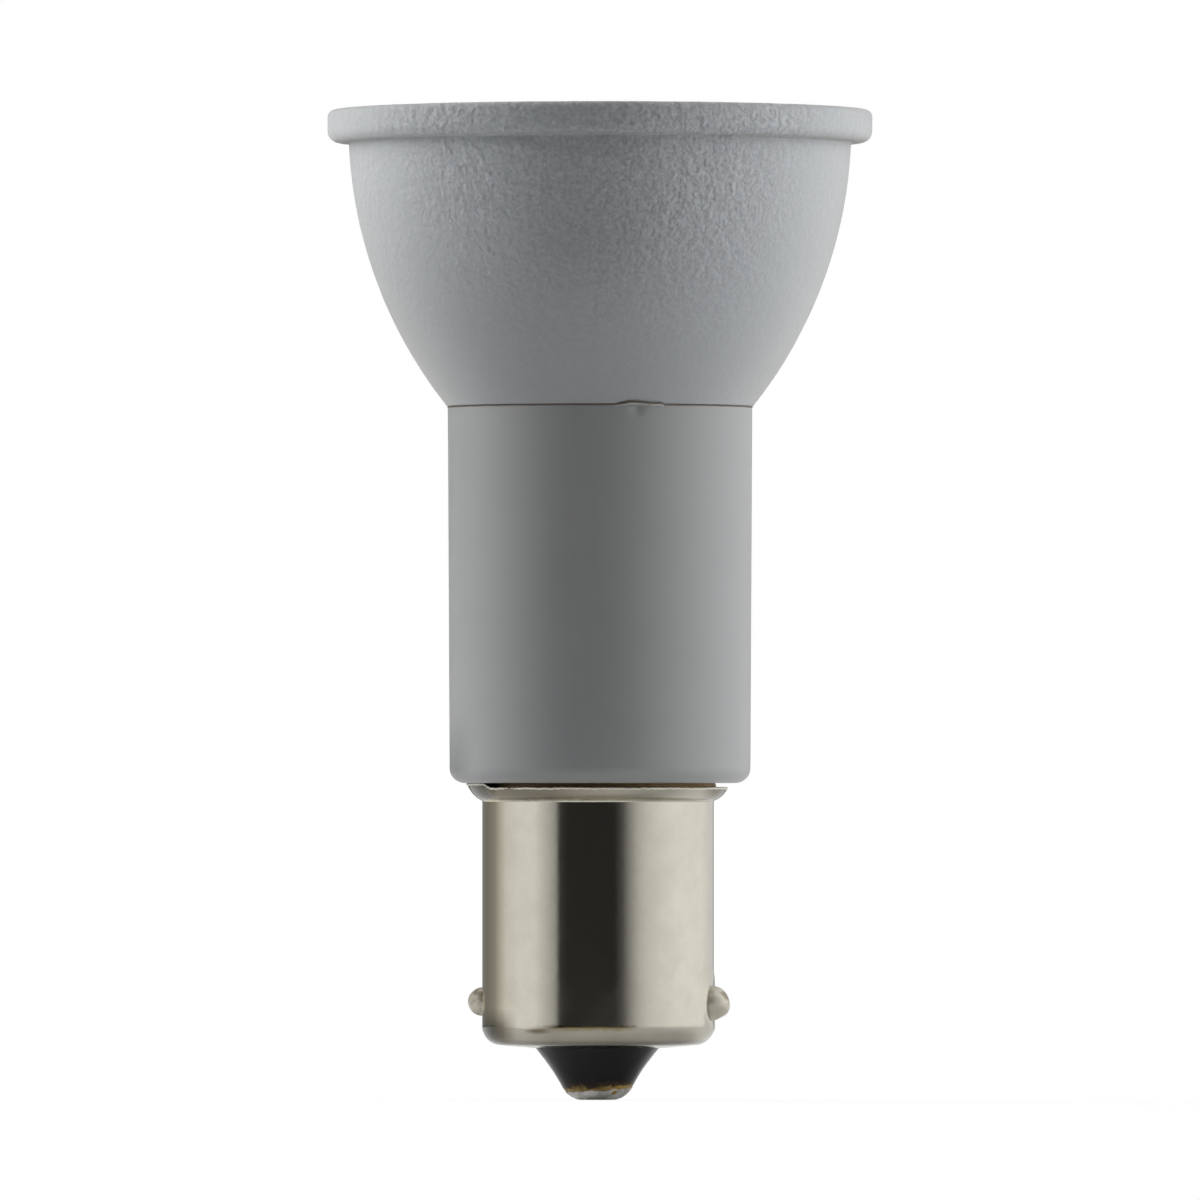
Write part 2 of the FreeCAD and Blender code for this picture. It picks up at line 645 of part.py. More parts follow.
def make_lens():
    """Collimator lens that hangs by its flange on the bell's ledge, and the ring over the flange."""
    lens = new_body("front_lens")
    foot = f"{LED_TOP} + lens_gap"
    opening = f"{SEAT} - ring_width"
    face = f"{opening} - lens_play"
    flange = f"{SEAT} - lens_play"
    flange_top = f"{LEDGE} + flange_thickness"
    shoulder = f"{CAVITY_MOUTH} - lens_play"
    recess_top = f"{foot} + recess_depth"
    face_edge = f"{flange_top} + lens_face_rise"
    revolve(lens, [
        ("0", f"{recess_top} - recess_dome",
         "(recess_dome ^ 2 + (recess_top_dia / 2) ^ 2) / (2 * recess_dome)"),
        ("recess_top_dia / 2", recess_top),
        ("recess_dia / 2", foot),
        ("lens_foot_dia / 2", foot, "lens_side_radius"),
        (shoulder, LEDGE),
        (flange, LEDGE),
        (flange, flange_top),
        (face, flange_top),
        (face, face_edge, f"(lens_crown ^ 2 + ({face}) ^ 2) / (2 * lens_crown)"),
        ("0", f"{face_edge} + lens_crown"),
    ])
    place(lens, height=JOINT)

    ring = new_body("lens_ring")
    ring_top = f"{flange_top} + ring_height"
    outside = f"{SEAT} - fit_clearance"
    revolve(ring, [
        (opening, flange_top),
        (outside, flange_top),
        (outside, ring_top),
        (f"{opening} + ring_edge_radius", ring_top, "ring_edge_radius"),
        (opening, f"{ring_top} - ring_edge_radius"),
    ])
    place(ring, height=JOINT)


def board_face(side):
    """Depth of the driver board's front or back face."""
    return "-driver_thickness / 2" if side == "front" else "driver_thickness / 2"


def make_chip(name, kind, across, low, side, legs):
    """Moulded part that lies on the driver board, with flat legs at its two ends."""
    tall, wide, thick = f"{kind}_length", f"{kind}_width", f"{kind}_height"
    chip = new_body(name)
    block = outline(chip, "Block", box_corners(f"-{wide} / 2", "0", f"{wide} / 2", tall), "XY_Plane",
                    lift="leg_thickness / 2")
    pad(chip, block, f"{thick} - leg_thickness / 2", taper="-mould_draft")
    for number in range(legs):
        middle = f"{wide} * {2 * number + 1 - legs} / {2 * legs}"
        leg = outline(chip, f"Leg{number}", box_corners(
            f"{middle} - leg_width / 2", "-leg_reach",
            f"{middle} + leg_width / 2", f"{tall} + leg_reach"), "XY_Plane")
        pad(chip, leg, "leg_thickness")
    turn = "90" if side == "front" else "-90"
    height = f"{DRIVER_FOOT} + {low}" if side == "front" else f"{DRIVER_FOOT} + {low} + {tall}"
    place(chip, across, board_face(side), height, Vector(1, 0, 0), turn)


def make_ceramics():
    """The small ceramic parts of the driver board, as one sub-part."""
    second_row = f"{FIRST_ROW} + ceramic_length + part_spacing"
    above_chip = f"{FIRST_ROW} + chip_length + 2 * leg_reach + part_spacing"
    above_diode = f"{FIRST_ROW} + diode_length + 2 * leg_reach + part_spacing"
    places = [
        (FRONT_STRIP, FIRST_ROW, "front"),
        (FRONT_STRIP, second_row, "front"),
        (f"-{FRONT_STRIP}", FIRST_ROW, "front"),
        (f"-{FRONT_STRIP}", second_row, "front"),
        (f"-{BACK_STRIP}", above_chip, "back"),
        (BACK_STRIP, above_diode, "back"),
    ]
    members = []
    for number, (across, low, side) in enumerate(places, 1):
        part = primitive("Part::Box", f"ceramic_part_{number}", Length="ceramic_width",
                         Width="ceramic_height", Height="ceramic_length")
        depth = board_face(side) if side == "back" else f"{board_face(side)} - ceramic_height"
        place(part, f"{across} - ceramic_width / 2", depth, f"{DRIVER_FOOT} + {low}")
        members.append(part)
    group("chip_parts", members)


def make_driver():
    """Driver board between the sleeve's guides, and everything soldered to it."""
    board = new_body("driver_board")
    half = f"{DRIVER_WIDTH} / 2"
    rim = outline(board, "Edge", box_corners(f"-{half}", "-driver_thickness / 2", half,
                                             "driver_thickness / 2"), "XY_Plane")
    pad(board, rim, DRIVER_LENGTH)
    place(board, height=DRIVER_FOOT)

    core = new_body("inductor_core")
    flange = "inductor_dia / 2"
    waist = "inductor_waist_dia / 2"
    upper_flange = "inductor_height - inductor_flange"
    revolve(core, [
        ("0", "0"),
        (flange, "0"),
        (flange, "inductor_flange"),
        (waist, "inductor_flange"),
        (waist, upper_flange),
        (flange, upper_flange),
        (flange, "inductor_height"),
        ("0", "inductor_height"),
    ])
    winding = new_body("inductor_winding")
    revolve(winding, [
        (waist, "inductor_flange"),
        ("winding_dia / 2", "inductor_flange"),
        ("winding_dia / 2", upper_flange),
        (waist, upper_flange),
    ])
    for piece in (core, winding):
        place(piece, "0", board_face("front"), f"{DRIVER_FOOT} + inductor_rise + {flange}",
              Vector(1, 0, 0), "90")

    capacitor = new_body("capacitor")
    can = "capacitor_dia / 2"
    groove_low = "capacitor_length - 5 * capacitor_groove"
    groove_high = "capacitor_length - 3 * capacitor_groove"
    groove_bottom = f"{can} - capacitor_groove"
    revolve(capacitor, [
        ("0", "0"),
        (f"{can} - capacitor_edge_radius", "0", "capacitor_edge_radius"),
        (can, "capacitor_edge_radius"),
        (can, groove_low, "-capacitor_groove"),
        (groove_bottom, f"({groove_low} + {groove_high}) / 2", "-capacitor_groove"),
        (can, groove_high),
        (can, "capacitor_length"),
        ("0", "capacitor_length"),
    ])
    place(capacitor, "0", f"{board_face('back')} + {can}", f"{DRIVER_FOOT} + {FIRST_ROW}")

    above_inductor = "inductor_rise + inductor_dia + part_spacing + leg_reach"
    make_chip("bridge_rectifier", "bridge", "0", above_inductor, "front", legs=2)
    above_row = f"{FIRST_ROW} + leg_reach"
    make_chip("driver_chip", "chip", f"-{BACK_STRIP}", above_row, "back", legs=3)
    make_chip("rectifier_diode", "diode", BACK_STRIP, above_row, "back", legs=1)
    make_ceramics()


def make_lead(name, route, across, depth, height, turn="0"):
    """Insulated wire along the route, which starts at the body's origin and runs up or down from it."""
    lead = new_body(name)
    path = outline(lead, "Route", route, closed=False)
    section = circles(lead, "Section", [("0", "0")], "wire_dia / 2")
    wire = lead.newObject("PartDesign::AdditivePipe", "Wire")
    wire.Profile = section
    wire.Spine = (path, [f"Edge{number}" for number in range(1, len(route))])
    DOC.recompute()
    place(lead, across, depth, height, turn=turn)


def make_leads():
    """Two leads from the driver board up to the LED board, and two down to the cap."""
    start = f"{DRIVER_FOOT} + {DRIVER_LENGTH} - lead_overlap"
    board_top = f"{JOINT} + {LED_BOARD_TOP} - ({start})"
    hook_start = f"{board_top} + lead_rise"
    hook = [
        ("0", "0"),
        ("0", hook_start, "-lead_hook_radius"),
        ("lead_hook_radius", f"{hook_start} + lead_hook_radius", "-lead_hook_radius"),
        ("2 * lead_hook_radius", hook_start),
        ("2 * lead_hook_radius", board_top),
    ]
    front = f"-{WIRE_OFFSET}"
    make_lead("led_lead_positive", hook, LED_LEAD, front, start)
    make_lead("led_lead_negative", hook, f"-{LED_LEAD}", front, start, "180")

    tap = f"{DRIVER_FOOT} + tap_overlap"
    jog_top = "-(tap_overlap + jog_start)"
    jog_radius = f"(jog_height ^ 2 + {WIRE_OFFSET} ^ 2) / (4 * {WIRE_OFFSET})"
    wire_end = "contact_height - eyelet_flange_thickness"
    make_lead("centre_lead", [
        ("0", "0"),
        ("0", jog_top, f"-{jog_radius}"),
        (f"-{WIRE_OFFSET} / 2", f"{jog_top} - jog_height / 2", jog_radius),
        (f"-{WIRE_OFFSET}", f"{jog_top} - jog_height"),
        (f"-{WIRE_OFFSET}", f"{wire_end} - ({tap})"),
    ], "0", WIRE_OFFSET, tap, "90")

    side_end = f"{NECK_FOOT} - spigot_length - side_lead_drop"
    bend_top = f"{side_end} + side_lead_bend_radius - ({tap})"
    reach = f"{SHELL_BORE} - side_lead_end_gap - {SIDE_LEAD}"
    make_lead("side_lead", [
        ("0", "0"),
        ("0", bend_top, "side_lead_bend_radius"),
        ("side_lead_bend_radius", f"{side_end} - ({tap})"),
        (reach, f"{side_end} - ({tap})"),
    ], SIDE_LEAD, front, tap)
    make_side_solder(side_end)


def make_side_solder(height):
    """Solder bead on the shell's inner wall, round the end of the side lead."""
    bead = primitive("Part::Sphere", "bead", Radius="side_solder_dia / 2")
    place(bead, SHELL_BORE, f"-{WIRE_OFFSET}", height)
    bore = primitive("Part::Cylinder", "shell_bore", Radius=SHELL_BORE, Height="side_solder_dia")
    place(bore, height=f"{height} - side_solder_dia / 2")
    wire = primitive("Part::Cylinder", "wire_end", Radius="wire_dia / 2",
                     Height=f"{SHELL_BORE} - side_lead_end_gap - {SIDE_LEAD}")
    place(wire, SIDE_LEAD, f"-{WIRE_OFFSET}", height, Vector(0, 1, 0), "90")
    inside = DOC.addObject("Part::Common", "bead_inside_shell")
    inside.Base, inside.Tool = bead, bore
    solder = DOC.addObject("Part::Cut", "side_solder")
    solder.Base, solder.Tool = inside, wire
    solder.Label = "side_solder"
    SUBPARTS.append(solder)


def write_parts():
    """Check every object and write each sub-part's shape to its own file."""
    DOC.recompute()
    failed = [thing.Label for thing in DOC.Objects if {"Invalid", "Error"} & set(thing.State)]
    if failed:
        raise RuntimeError(f"objects that failed: {failed}")
    os.makedirs("parts", exist_ok=True)
    for part in SUBPARTS:
        if part.Shape.isNull() or not part.Shape.isValid() or not part.Shape.Solids:
            raise RuntimeError(f"{part.Label} has no valid solid")
        part.Shape.exportStep(f"parts/{part.Label}.step")


def main():
    """Build the lamp from its contact up to its lens."""
    fill_sheet()
    make_contact()
    make_shell()
    make_pins()
    make_sleeve()
    lead_centres = make_bell()
    make_led(lead_centres)
    make_lens()
    make_driver()
    make_leads()
    write_parts()


main()
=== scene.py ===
import math

import bpy
from bpy.props import FloatProperty, FloatVectorProperty, PointerProperty
from bpy.types import Operator, Panel, PropertyGroup
from mathutils import Matrix, Vector, noise


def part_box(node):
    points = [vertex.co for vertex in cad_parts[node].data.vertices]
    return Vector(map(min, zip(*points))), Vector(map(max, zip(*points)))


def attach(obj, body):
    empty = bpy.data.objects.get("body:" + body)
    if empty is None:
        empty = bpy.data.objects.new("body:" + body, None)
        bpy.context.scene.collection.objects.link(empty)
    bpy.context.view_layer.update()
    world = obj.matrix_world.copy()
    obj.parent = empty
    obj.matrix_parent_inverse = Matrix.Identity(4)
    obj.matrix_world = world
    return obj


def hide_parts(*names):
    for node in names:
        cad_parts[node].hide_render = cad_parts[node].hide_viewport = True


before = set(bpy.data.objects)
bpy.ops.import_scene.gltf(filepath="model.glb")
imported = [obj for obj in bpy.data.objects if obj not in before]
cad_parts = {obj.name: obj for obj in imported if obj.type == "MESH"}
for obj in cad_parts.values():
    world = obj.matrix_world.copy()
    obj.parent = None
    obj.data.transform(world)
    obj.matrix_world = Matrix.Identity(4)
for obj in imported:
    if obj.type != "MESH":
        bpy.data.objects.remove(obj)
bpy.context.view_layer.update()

bl_info = {
    "name": "Reflector bulb",
    "version": (1, 0, 0),
    "blender": (4, 5, 0),
    "location": "3D View > Sidebar > Reflector bulb",
    "description": "Dresses the packed reflector bulb with its pieces, finishes and studio",
    "category": "Object",
}

MM = 0.001
SHARP_EDGE = math.radians(35)

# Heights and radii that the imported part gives; an open line lies between the collar and the sleeve.
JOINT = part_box("neck_sleeve")[1].z
SLEEVE_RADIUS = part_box("neck_sleeve")[1].x
RIM_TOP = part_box("bell_housing")[1].z
RIM_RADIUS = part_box("bell_housing")[1].x
SKIRT_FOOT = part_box("bell_housing")[0].z
BOARD_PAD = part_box("thermal_pad")[0].z
CAP_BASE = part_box("cap_shell")[0].z
CAP_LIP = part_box("cap_shell")[1].z
OPEN_LINE = 0.3 * MM
SLEEVE_FOOT = CAP_LIP + OPEN_LINE
LIP_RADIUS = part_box("cap_shell")[1].x
GLASS_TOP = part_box("cap_insulator")[1].z
PIN_HEIGHT = (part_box("bayonet_pin_right")[0].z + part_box("bayonet_pin_right")[1].z) / 2


def hex_colour(text):
    """A written sRGB colour as the linear colour that shaders take."""
    shares = [int(text[place:place + 2], 16) / 255 for place in (1, 3, 5)]
    return [s / 12.92 if s <= 0.04045 else ((s + 0.055) / 1.055) ** 2.4 for s in shares] + [1.0]


def length(name, description, millimetres):
    """A length that the user can change."""
    return FloatProperty(name=name, description=description, default=millimetres * MM,
                         subtype="DISTANCE", unit="LENGTH", precision=5)


def rotation(name, description, degrees):
    """An angle that the user can change."""
    return FloatProperty(name=name, description=description, default=math.radians(degrees),
                         subtype="ANGLE", unit="ROTATION")


def tint(name, description, text):
    """A colour that the user can change."""
    return FloatVectorProperty(name=name, description=description, default=hex_colour(text)[:3],
                               subtype="COLOR", size=3, min=0.0, max=1.0)


# Outlines and turned pieces

def arc(start, end, radius, steps):
    """The round stretch from start to end without its start; a positive radius turns left."""
    start, end = Vector(start), Vector(end)
    half = (end - start).length / 2
    left = Vector((start.y - end.y, end.x - start.x)).normalized()
    centre = (start + end) / 2 + left * math.copysign(math.sqrt(radius ** 2 - half ** 2), radius)
    sweep = math.copysign(2 * math.asin(half / abs(radius)), radius)
    return [centre + Matrix.Rotation(sweep * step / steps, 2) @ (start - centre)
            for step in range(1, steps + 1)]


def rounded(corners, steps=8):
    """The outline through corners given as (across, up, rounding radius)."""
    spots = [Vector(corner[:2]) for corner in corners]
    outline = []
    for index, spot in enumerate(spots):
        radius = corners[index][2]
        if radius == 0:
            outline.append(spot)
            continue
        back = (spots[index - 1] - spot).normalized()
        ahead = (spots[index + 1] - spot).normalized()
        reach = radius / math.tan(back.angle(ahead) / 2)
        start, end = spot + back * reach, spot + ahead * reach
        side = math.copysign(radius, ahead.x * back.y - ahead.y * back.x)
        outline += [start] + arc(start, end, side, steps)
    return outline


def finely(outline, step):
    """The same outline with no stretch longer than step."""
    fine = [Vector(outline[0])]
    for start, end in zip(outline, outline[1:]):
        start, end = Vector(start), Vector(end)
        count = max(1, math.ceil((end - start).length / step))
        fine += [start.lerp(end, part / count) for part in range(1, count + 1)]
    return fine


def outward(outline, index):
    """The direction square to the outline at a point, away from the piece's material."""
    before = outline[max(index - 1, 0)]
    after = outline[min(index + 1, len(outline) - 1)]
    return Vector((after.y - before.y, before.x - after.x)).normalized()


def around(angle, spot):
    """The place of a spot of the outline once it is turned about the axis."""
    return Vector((spot.x * math.cos(angle), spot.x * math.sin(angle), spot.y))


def spot_at(front, radius, height):
    """The place at an angle from the front towards the right, with its radius and height."""
    return around(front - math.pi / 2, Vector((radius, height)))


def from_front(angle):
    """The same angle about the axis, counted from the front towards the right, within half a turn."""
    return (angle + math.pi / 2 + math.pi) % (2 * math.pi) - math.pi


def hump(distance, width):
    """A smooth rise of 1 at distance 0 that has gone by about twice the width."""
    return math.exp(-(distance / width) ** 2)


def turned(name, outline, sides, work=None, place=Matrix.Identity(4)):
    """Turn an outline about the Z axis; work(angle, spot, out) leaves the marks of making on it."""
    points, rings = [], []
    loop = (outline[0] - outline[-1]).length < 1e-9
    for index, spot in enumerate(outline[:-1] if loop else outline):
        first = len(points)
        if spot.x < 1e-7:
            points.append(Vector((0, 0, spot.y)))
        else:
            out = outward(outline, index)
            for side in range(sides):
                angle = 2 * math.pi * side / sides
                points.append(around(angle, work(angle, spot, out) if work else spot))
        rings.append(range(first, len(points)))
    if loop:
        rings.append(rings[0])
    faces = []
    for low, high in zip(rings, rings[1:]):
        for side in range(sides):
            near, far = side, (side + 1) % sides
            if len(low) == 1:
                faces.append((low[0], high[far], high[near]))
            elif len(high) == 1:
                faces.append((low[near], low[far], high[0]))
            else:
                faces.append((low[near], low[far], high[far], high[near]))
    return piece_from(name, [place @ point for point in points], faces)


def piece_from(name, points, faces):
    """A smooth-shaded object from its points and faces, with its sharp edges kept."""
    mesh = bpy.data.meshes.new(name)
    mesh.from_pydata([tuple(point) for point in points], [], faces)
    mesh.shade_smooth()
    mesh.set_sharp_from_angle(angle=SHARP_EDGE)
    piece = bpy.data.objects.new(name, mesh)
    bpy.context.scene.collection.objects.link(piece)
    return piece


def fit(piece, finish, slot, *nodes):
    """Give a new piece its finish and let it stand for its CAD nodes; slot is not used."""
    piece.data.materials.append(finish)
    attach(piece, "root")
    if nodes:
        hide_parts(*nodes)


def coat(finish, *nodes):
    """Give CAD nodes their finish."""
    for node in nodes:
        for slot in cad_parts[node].material_slots:
            slot.material = finish


# Finishes

def feed(tree, socket, source):
    """Give a socket a value, or link it to another socket or to a node's first output in use."""
    if isinstance(source, bpy.types.Node):
        source = next(output for output in source.outputs if output.enabled)
    if isinstance(source, bpy.types.NodeSocket):
        tree.links.new(source, socket)
    else:
        socket.default_value = source


def add_node(tree, kind, *inputs, **settings):
    """Add a node; its inputs in use are fed in turn, and a setting with a capital is an input's name."""
    node = tree.nodes.new("ShaderNode" + kind)
    named = {name: value for name, value in settings.items() if name[0].isupper()}
    for name, value in settings.items():
        if name not in named:
            setattr(node, name, value)
    for socket, source in zip([socket for socket in node.inputs if socket.enabled], inputs):
        feed(tree, socket, source)
    for name, source in named.items():
        feed(tree, node.inputs[name], source)
    return node


def new_finish(name, **constants):
    """A material with constant values on its shader; gives the material, its tree and its shader."""
    finish = bpy.data.materials.new(name)
    finish.use_nodes = True
    shader = finish.node_tree.nodes["Principled BSDF"]
    for socket, value in constants.items():
        shader.inputs[socket.replace("_", " ")].default_value = value
    return finish, finish.node_tree, shader


def wear(tree, shader, colour=None, roughness=None, normal=None):
    """Link the patterns of a finish to its shader."""
    for name, pattern in (("Base Color", colour), ("Roughness", roughness), ("Normal", normal)):
        if pattern:
            feed(tree, shader.inputs[name], pattern)


def per_metre(millimetres):
    """The texture scale at which a pattern repeats about every so many millimetres."""
    return 1 / (millimetres * MM)


def shade(colour, share):
    """A colour made lighter or darker by a share of itself."""
    return [min(1.0, part * share) for part in colour[:3]] + [1.0]


def surface_place(tree):
    """The place of a spot of the surface, and how far it lies to the right, to the back and up."""
    place = add_node(tree, "TexCoord").outputs["Object"]
    return (place, *add_node(tree, "SeparateXYZ", place).outputs)


def mark(tree, *slopes):
    """The strength of a mark: the product of its slopes, each (source, start, end, low, high).

    A slope goes from low to high while its source goes from start to end.
    """
    strength = None
    for source, start, end, low, high in slopes:
        slope = add_node(tree, "MapRange", source, start, end, low, high)
        strength = add_node(tree, "Math", strength, slope, operation="MULTIPLY") if strength else slope
    return strength


def strongest(tree, strength, *others):
    """The strongest of several marks at each spot."""
    for other in others:
        strength = add_node(tree, "Math", strength, other, operation="MAXIMUM")
    return strength


def stained(tree, colour, *stains):
    """A colour with stains laid over it in turn, each given as its strength and its colour."""
    for strength, stain in stains:
        colour = add_node(tree, "Mix", strength, colour, stain, data_type="RGBA")
    return colour


def powder_coat(bell):
    """Sand-textured polyester powder coat, sprayed from the front and baked on the casting."""
    # The baked grit crumples the skin: grains catch the light and the pits between them stay dark.
    # It lies thickest in front and near the rim. Painted shade darkens the corner under the rim.
    # Painted light pales the coat towards the rim, most on the left, and painted shade darkens the front's
    # middle.
    finish, tree, shader = new_finish("sand-textured powder coat", IOR=1.5, Sheen_Weight=0.2,
                                      Sheen_Roughness=0.5, Sheen_Tint=hex_colour("#FFF0DC"))
    place, across, depth, height = surface_place(tree)
    grit = add_node(tree, "TexNoise", place, Scale=1 / bell.grit, Detail=3, Roughness=0.6)
    lumps = add_node(tree, "TexNoise", place, Scale=0.45 / bell.grit, Detail=1)
    patches = add_node(tree, "TexNoise", place, Scale=per_metre(7), Detail=1)
    thickness = mark(tree, (height, RIM_TOP - 16 * MM, RIM_TOP - 6 * MM, 0.35, 1),
                     (depth, -9 * MM, -14.5 * MM, 0.35, 1))
    # Painted light from the upper left: the coat is paler on the left, towards the rim.
    painted_left_light = mark(tree, (height, RIM_TOP - 14 * MM, RIM_TOP - 4 * MM, 0, 1),
                    (across, 2 * MM, -8 * MM, 0, 1))
    # Painted shade: the front's middle is darker below the rim.
    middle = mark(tree, (height, RIM_TOP - 13 * MM, RIM_TOP - 9 * MM, 0, 1),
                  (depth, 0, -10 * MM, 0, 1),
                  (across, 4.5 * MM, 0.5 * MM, 0, 1),
                  (across, -7 * MM, -2.5 * MM, 0, 1))
    grain = add_node(tree, "Mix", thickness, 0.5, mark(tree, (grit, 0.3, 0.7, 0, 1)))
    # The coat's level: paler towards the rim and on the left as painted light, darker in the front's middle
    # as painted shade, and shaded by the grain.
    level = mark(tree, (height, JOINT, RIM_TOP, 0.88, 1.06),
                 (painted_left_light, 0, 1, 1, 1.15),
                 (middle, 0, 1, 1, 0.88),
                 (grain, 0, 1, 0.82, 1.18))
    colour = add_node(tree, "VectorMath", bell.coat, level, operation="SCALE")
    under_rim = RIM_TOP - bell.rim_height
    # Painted shade in the corner under the rim.
    painted_rim_crease_shade = mark(tree, (height, under_rim + 0.2 * MM, under_rim + 0.04 * MM, 0, 1),
                (height, under_rim - 0.1 * MM, under_rim, 0, 0.12))
    gloss = add_node(tree, "MapRange", patches, 0.3, 0.7, 0.46, 0.54)
    bumps = add_node(tree, "Math", grit, 0.6, lumps, operation="MULTIPLY_ADD")
    relief = add_node(tree, "Bump", Height=bumps, Strength=thickness, Distance=bell.grit_depth)
    wear(tree, shader, stained(tree, colour, (painted_rim_crease_shade, shade(bell.coat, 0.3))), gloss, relief)
    return finish


def moulded_polycarbonate(sleeve):
    """Satin polycarbonate, moulded against a fine spark-eroded cavity."""
    # A long soft highlight with a faint flow of the melt in it, and a small sink by the mould flash.
    # The left side is darker near the foot. The grain is drawn coarser than it
    # is, so that it shows.
    finish, tree, shader = new_finish("satin moulded polycarbonate", IOR=1.58, Sheen_Weight=0.17,
                                      Sheen_Roughness=0.3)
    place, across, _, height = surface_place(tree)
    grain = add_node(tree, "TexNoise", place, Scale=per_metre(0.12), Detail=1)
    flow = add_node(tree, "TexNoise", place, Scale=per_metre(5), Detail=3)
    gloss = add_node(tree, "MapRange", flow, 0.3, 0.7, 0.36, 0.42)
    sink_place = spot_at(sleeve.sink_turn, SLEEVE_RADIUS, JOINT - sleeve.sink_drop)
    away = add_node(tree, "VectorMath", place, sink_place, operation="DISTANCE").outputs["Value"]
    sink = add_node(tree, "MapRange", away, 0, sleeve.sink_radius, 0, 1, interpolation_type="SMOOTHSTEP")
    texture = add_node(tree, "Bump", Height=grain, Distance=0.0008 * MM)
    relief = add_node(tree, "Bump", Height=sink, Distance=sleeve.sink_depth, Normal=texture)
    # Darker on the left, near the foot.
    darker_left_foot = mark(tree, (height, SLEEVE_FOOT + 4.5 * MM, SLEEVE_FOOT + 0.5 * MM, 0, 0.45),
                   (across, -8.2 * MM, -9.4 * MM, 0, 1))
    tone = stained(tree, shade(sleeve.plastic, 0.97), (flow, shade(sleeve.plastic, 1.03)),
                   (darker_left_foot, shade(sleeve.plastic, 0.2)))
    wear(tree, shader, tone, gloss, relief)
    return finish


def nickel_stains(tree, shell, level):
    """The stains, painted shade and painted reflection on the plate in the order in which they lie, up to a
    level that creeps a little.
    """
    place, across, depth, height = surface_place(tree)
    yellowed = mark(tree, (across, -5.8 * MM, -7.3 * MM, 0, 0.6), (depth, 3 * MM, -1.5 * MM, 0, 1))
    base_heat = mark(tree, (level, CAP_BASE + 1.42 * MM, CAP_BASE + 1.3 * MM, 0, 0.52),
                     (across, 1 * MM, 4.4 * MM, 1, 0.1),
                     (across, -5 * MM, -3 * MM, 0.1, 1))
    corner_heat = mark(tree, (level, CAP_BASE + 2.5 * MM, CAP_BASE + 1.2 * MM, 0, 0.9),
                       (across, -5.4 * MM, -6.4 * MM, 0, 1))
    root = CAP_LIP - shell.collar_drop
    on_collar = (level, root - 0.15 * MM, root - 0.03 * MM, 0, 1)
    # Heat tint round the base, and painted shade on the collar, most on the left and at its ends.
    heat_tint_and_collar_shade = strongest(tree, base_heat, corner_heat,
                        mark(tree, on_collar, (across, -3 * MM, 5.5 * MM, 0.8, 0.15)),
                        mark(tree, on_collar, (across, 6.4 * MM, 7.6 * MM, 0, 0.9)),
                        mark(tree, on_collar, (across, -5.5 * MM, -7 * MM, 0, 1)))
    fringe = mark(tree, (level, CAP_BASE + 1.5 * MM, CAP_BASE + 1.35 * MM, 0, 0.85),
                  (level, CAP_BASE + 1 * MM, CAP_BASE + 1.25 * MM, 0, 1),
                  (across, -3.6 * MM, -2.6 * MM, 0, 1),
                  (across, 2.6 * MM, 1.4 * MM, 0, 1))
    # A painted dark reflection on the bulge of the base corner.
    flattened = 5
    squashed = add_node(tree, "Mapping", place, Scale=(1, 1, flattened))
    bulge_reflection_height = CAP_BASE + 1.2 * MM
    bulge_reflection_place = spot_at(shell.bulge_turn, shell.radius, flattened * bulge_reflection_height)
    away = add_node(tree, "VectorMath", squashed, bulge_reflection_place, operation="DISTANCE").outputs["Value"]
    painted_bulge_reflection = mark(tree, (away, 1.2 * MM, 0.4 * MM, 0, 0.75))
    # Darker near the bottom of the base, on the left near the base and at the collar's left end.
    darker_base_and_left = strongest(tree, mark(tree, (height, CAP_BASE + 0.62 * MM, CAP_BASE + 0.42 * MM, 0, 0.35)),
                     mark(tree, (level, CAP_BASE + 1.45 * MM, CAP_BASE + 1.25 * MM, 0, 0.8),
                          (across, -6.4 * MM, -7 * MM, 0, 1)),
                     mark(tree, on_collar, (across, -6.8 * MM, -7.8 * MM, 0, 0.6)))
    return ((yellowed, hex_colour("#DECDA6")),
            (heat_tint_and_collar_shade, hex_colour("#736C5C")),
            (fringe, hex_colour("#867850")),
            (painted_bulge_reflection, hex_colour("#6A6048")),
            (darker_base_and_left, hex_colour("#3F3C38")))


def nickel_plate(shell):
    """Bright nickel, barrel-plated over the drawn brass shell."""
    # A warm mirror, blurred by fine drawing lines and clouded where it was handled. Soldering heat
    # has browned it round the base, with a straw fringe in front, and yellowed its left side. Painted
    # shade darkens the collar, most on the left and at its ends, and a painted dark reflection lies on
    # the bulge of the base corner. The plate is darker near the bottom of the base and on the left.
    # The lines are drawn coarser than they are, to show.
    finish, tree, shader = new_finish("nickel plate on drawn brass", Metallic=1.0)
    place, _, _, height = surface_place(tree)
    lying = add_node(tree, "Mapping", place, Scale=(1, 1, 40))
    lines = add_node(tree, "TexNoise", lying, Scale=per_metre(5), Detail=3)
    bloom = add_node(tree, "TexNoise", place, Scale=per_metre(2.2), Detail=4, Roughness=0.6)
    mottle = add_node(tree, "TexNoise", place, Scale=per_metre(0.6), Detail=3)
    level = add_node(tree, "Math", mottle, -0.3 * MM, height, operation="MULTIPLY_ADD")
    clouds = mark(tree, (bloom, 0.42, 0.68, 0, 1))
    tone = stained(tree, shade(shell.plate, 1.0), (clouds, shade(shell.plate, 0.93)),
                   *nickel_stains(tree, shell, level))
    gloss = add_node(tree, "MapRange", bloom, 0.3, 0.7, 0.07, 0.13)
    drawn = add_node(tree, "Bump", Height=lines, Distance=0.0006 * MM)
    relief = add_node(tree, "Bump", Height=mottle, Distance=0.003 * MM, Normal=drawn)
    wear(tree, shader, tone, gloss, relief)
    return finish


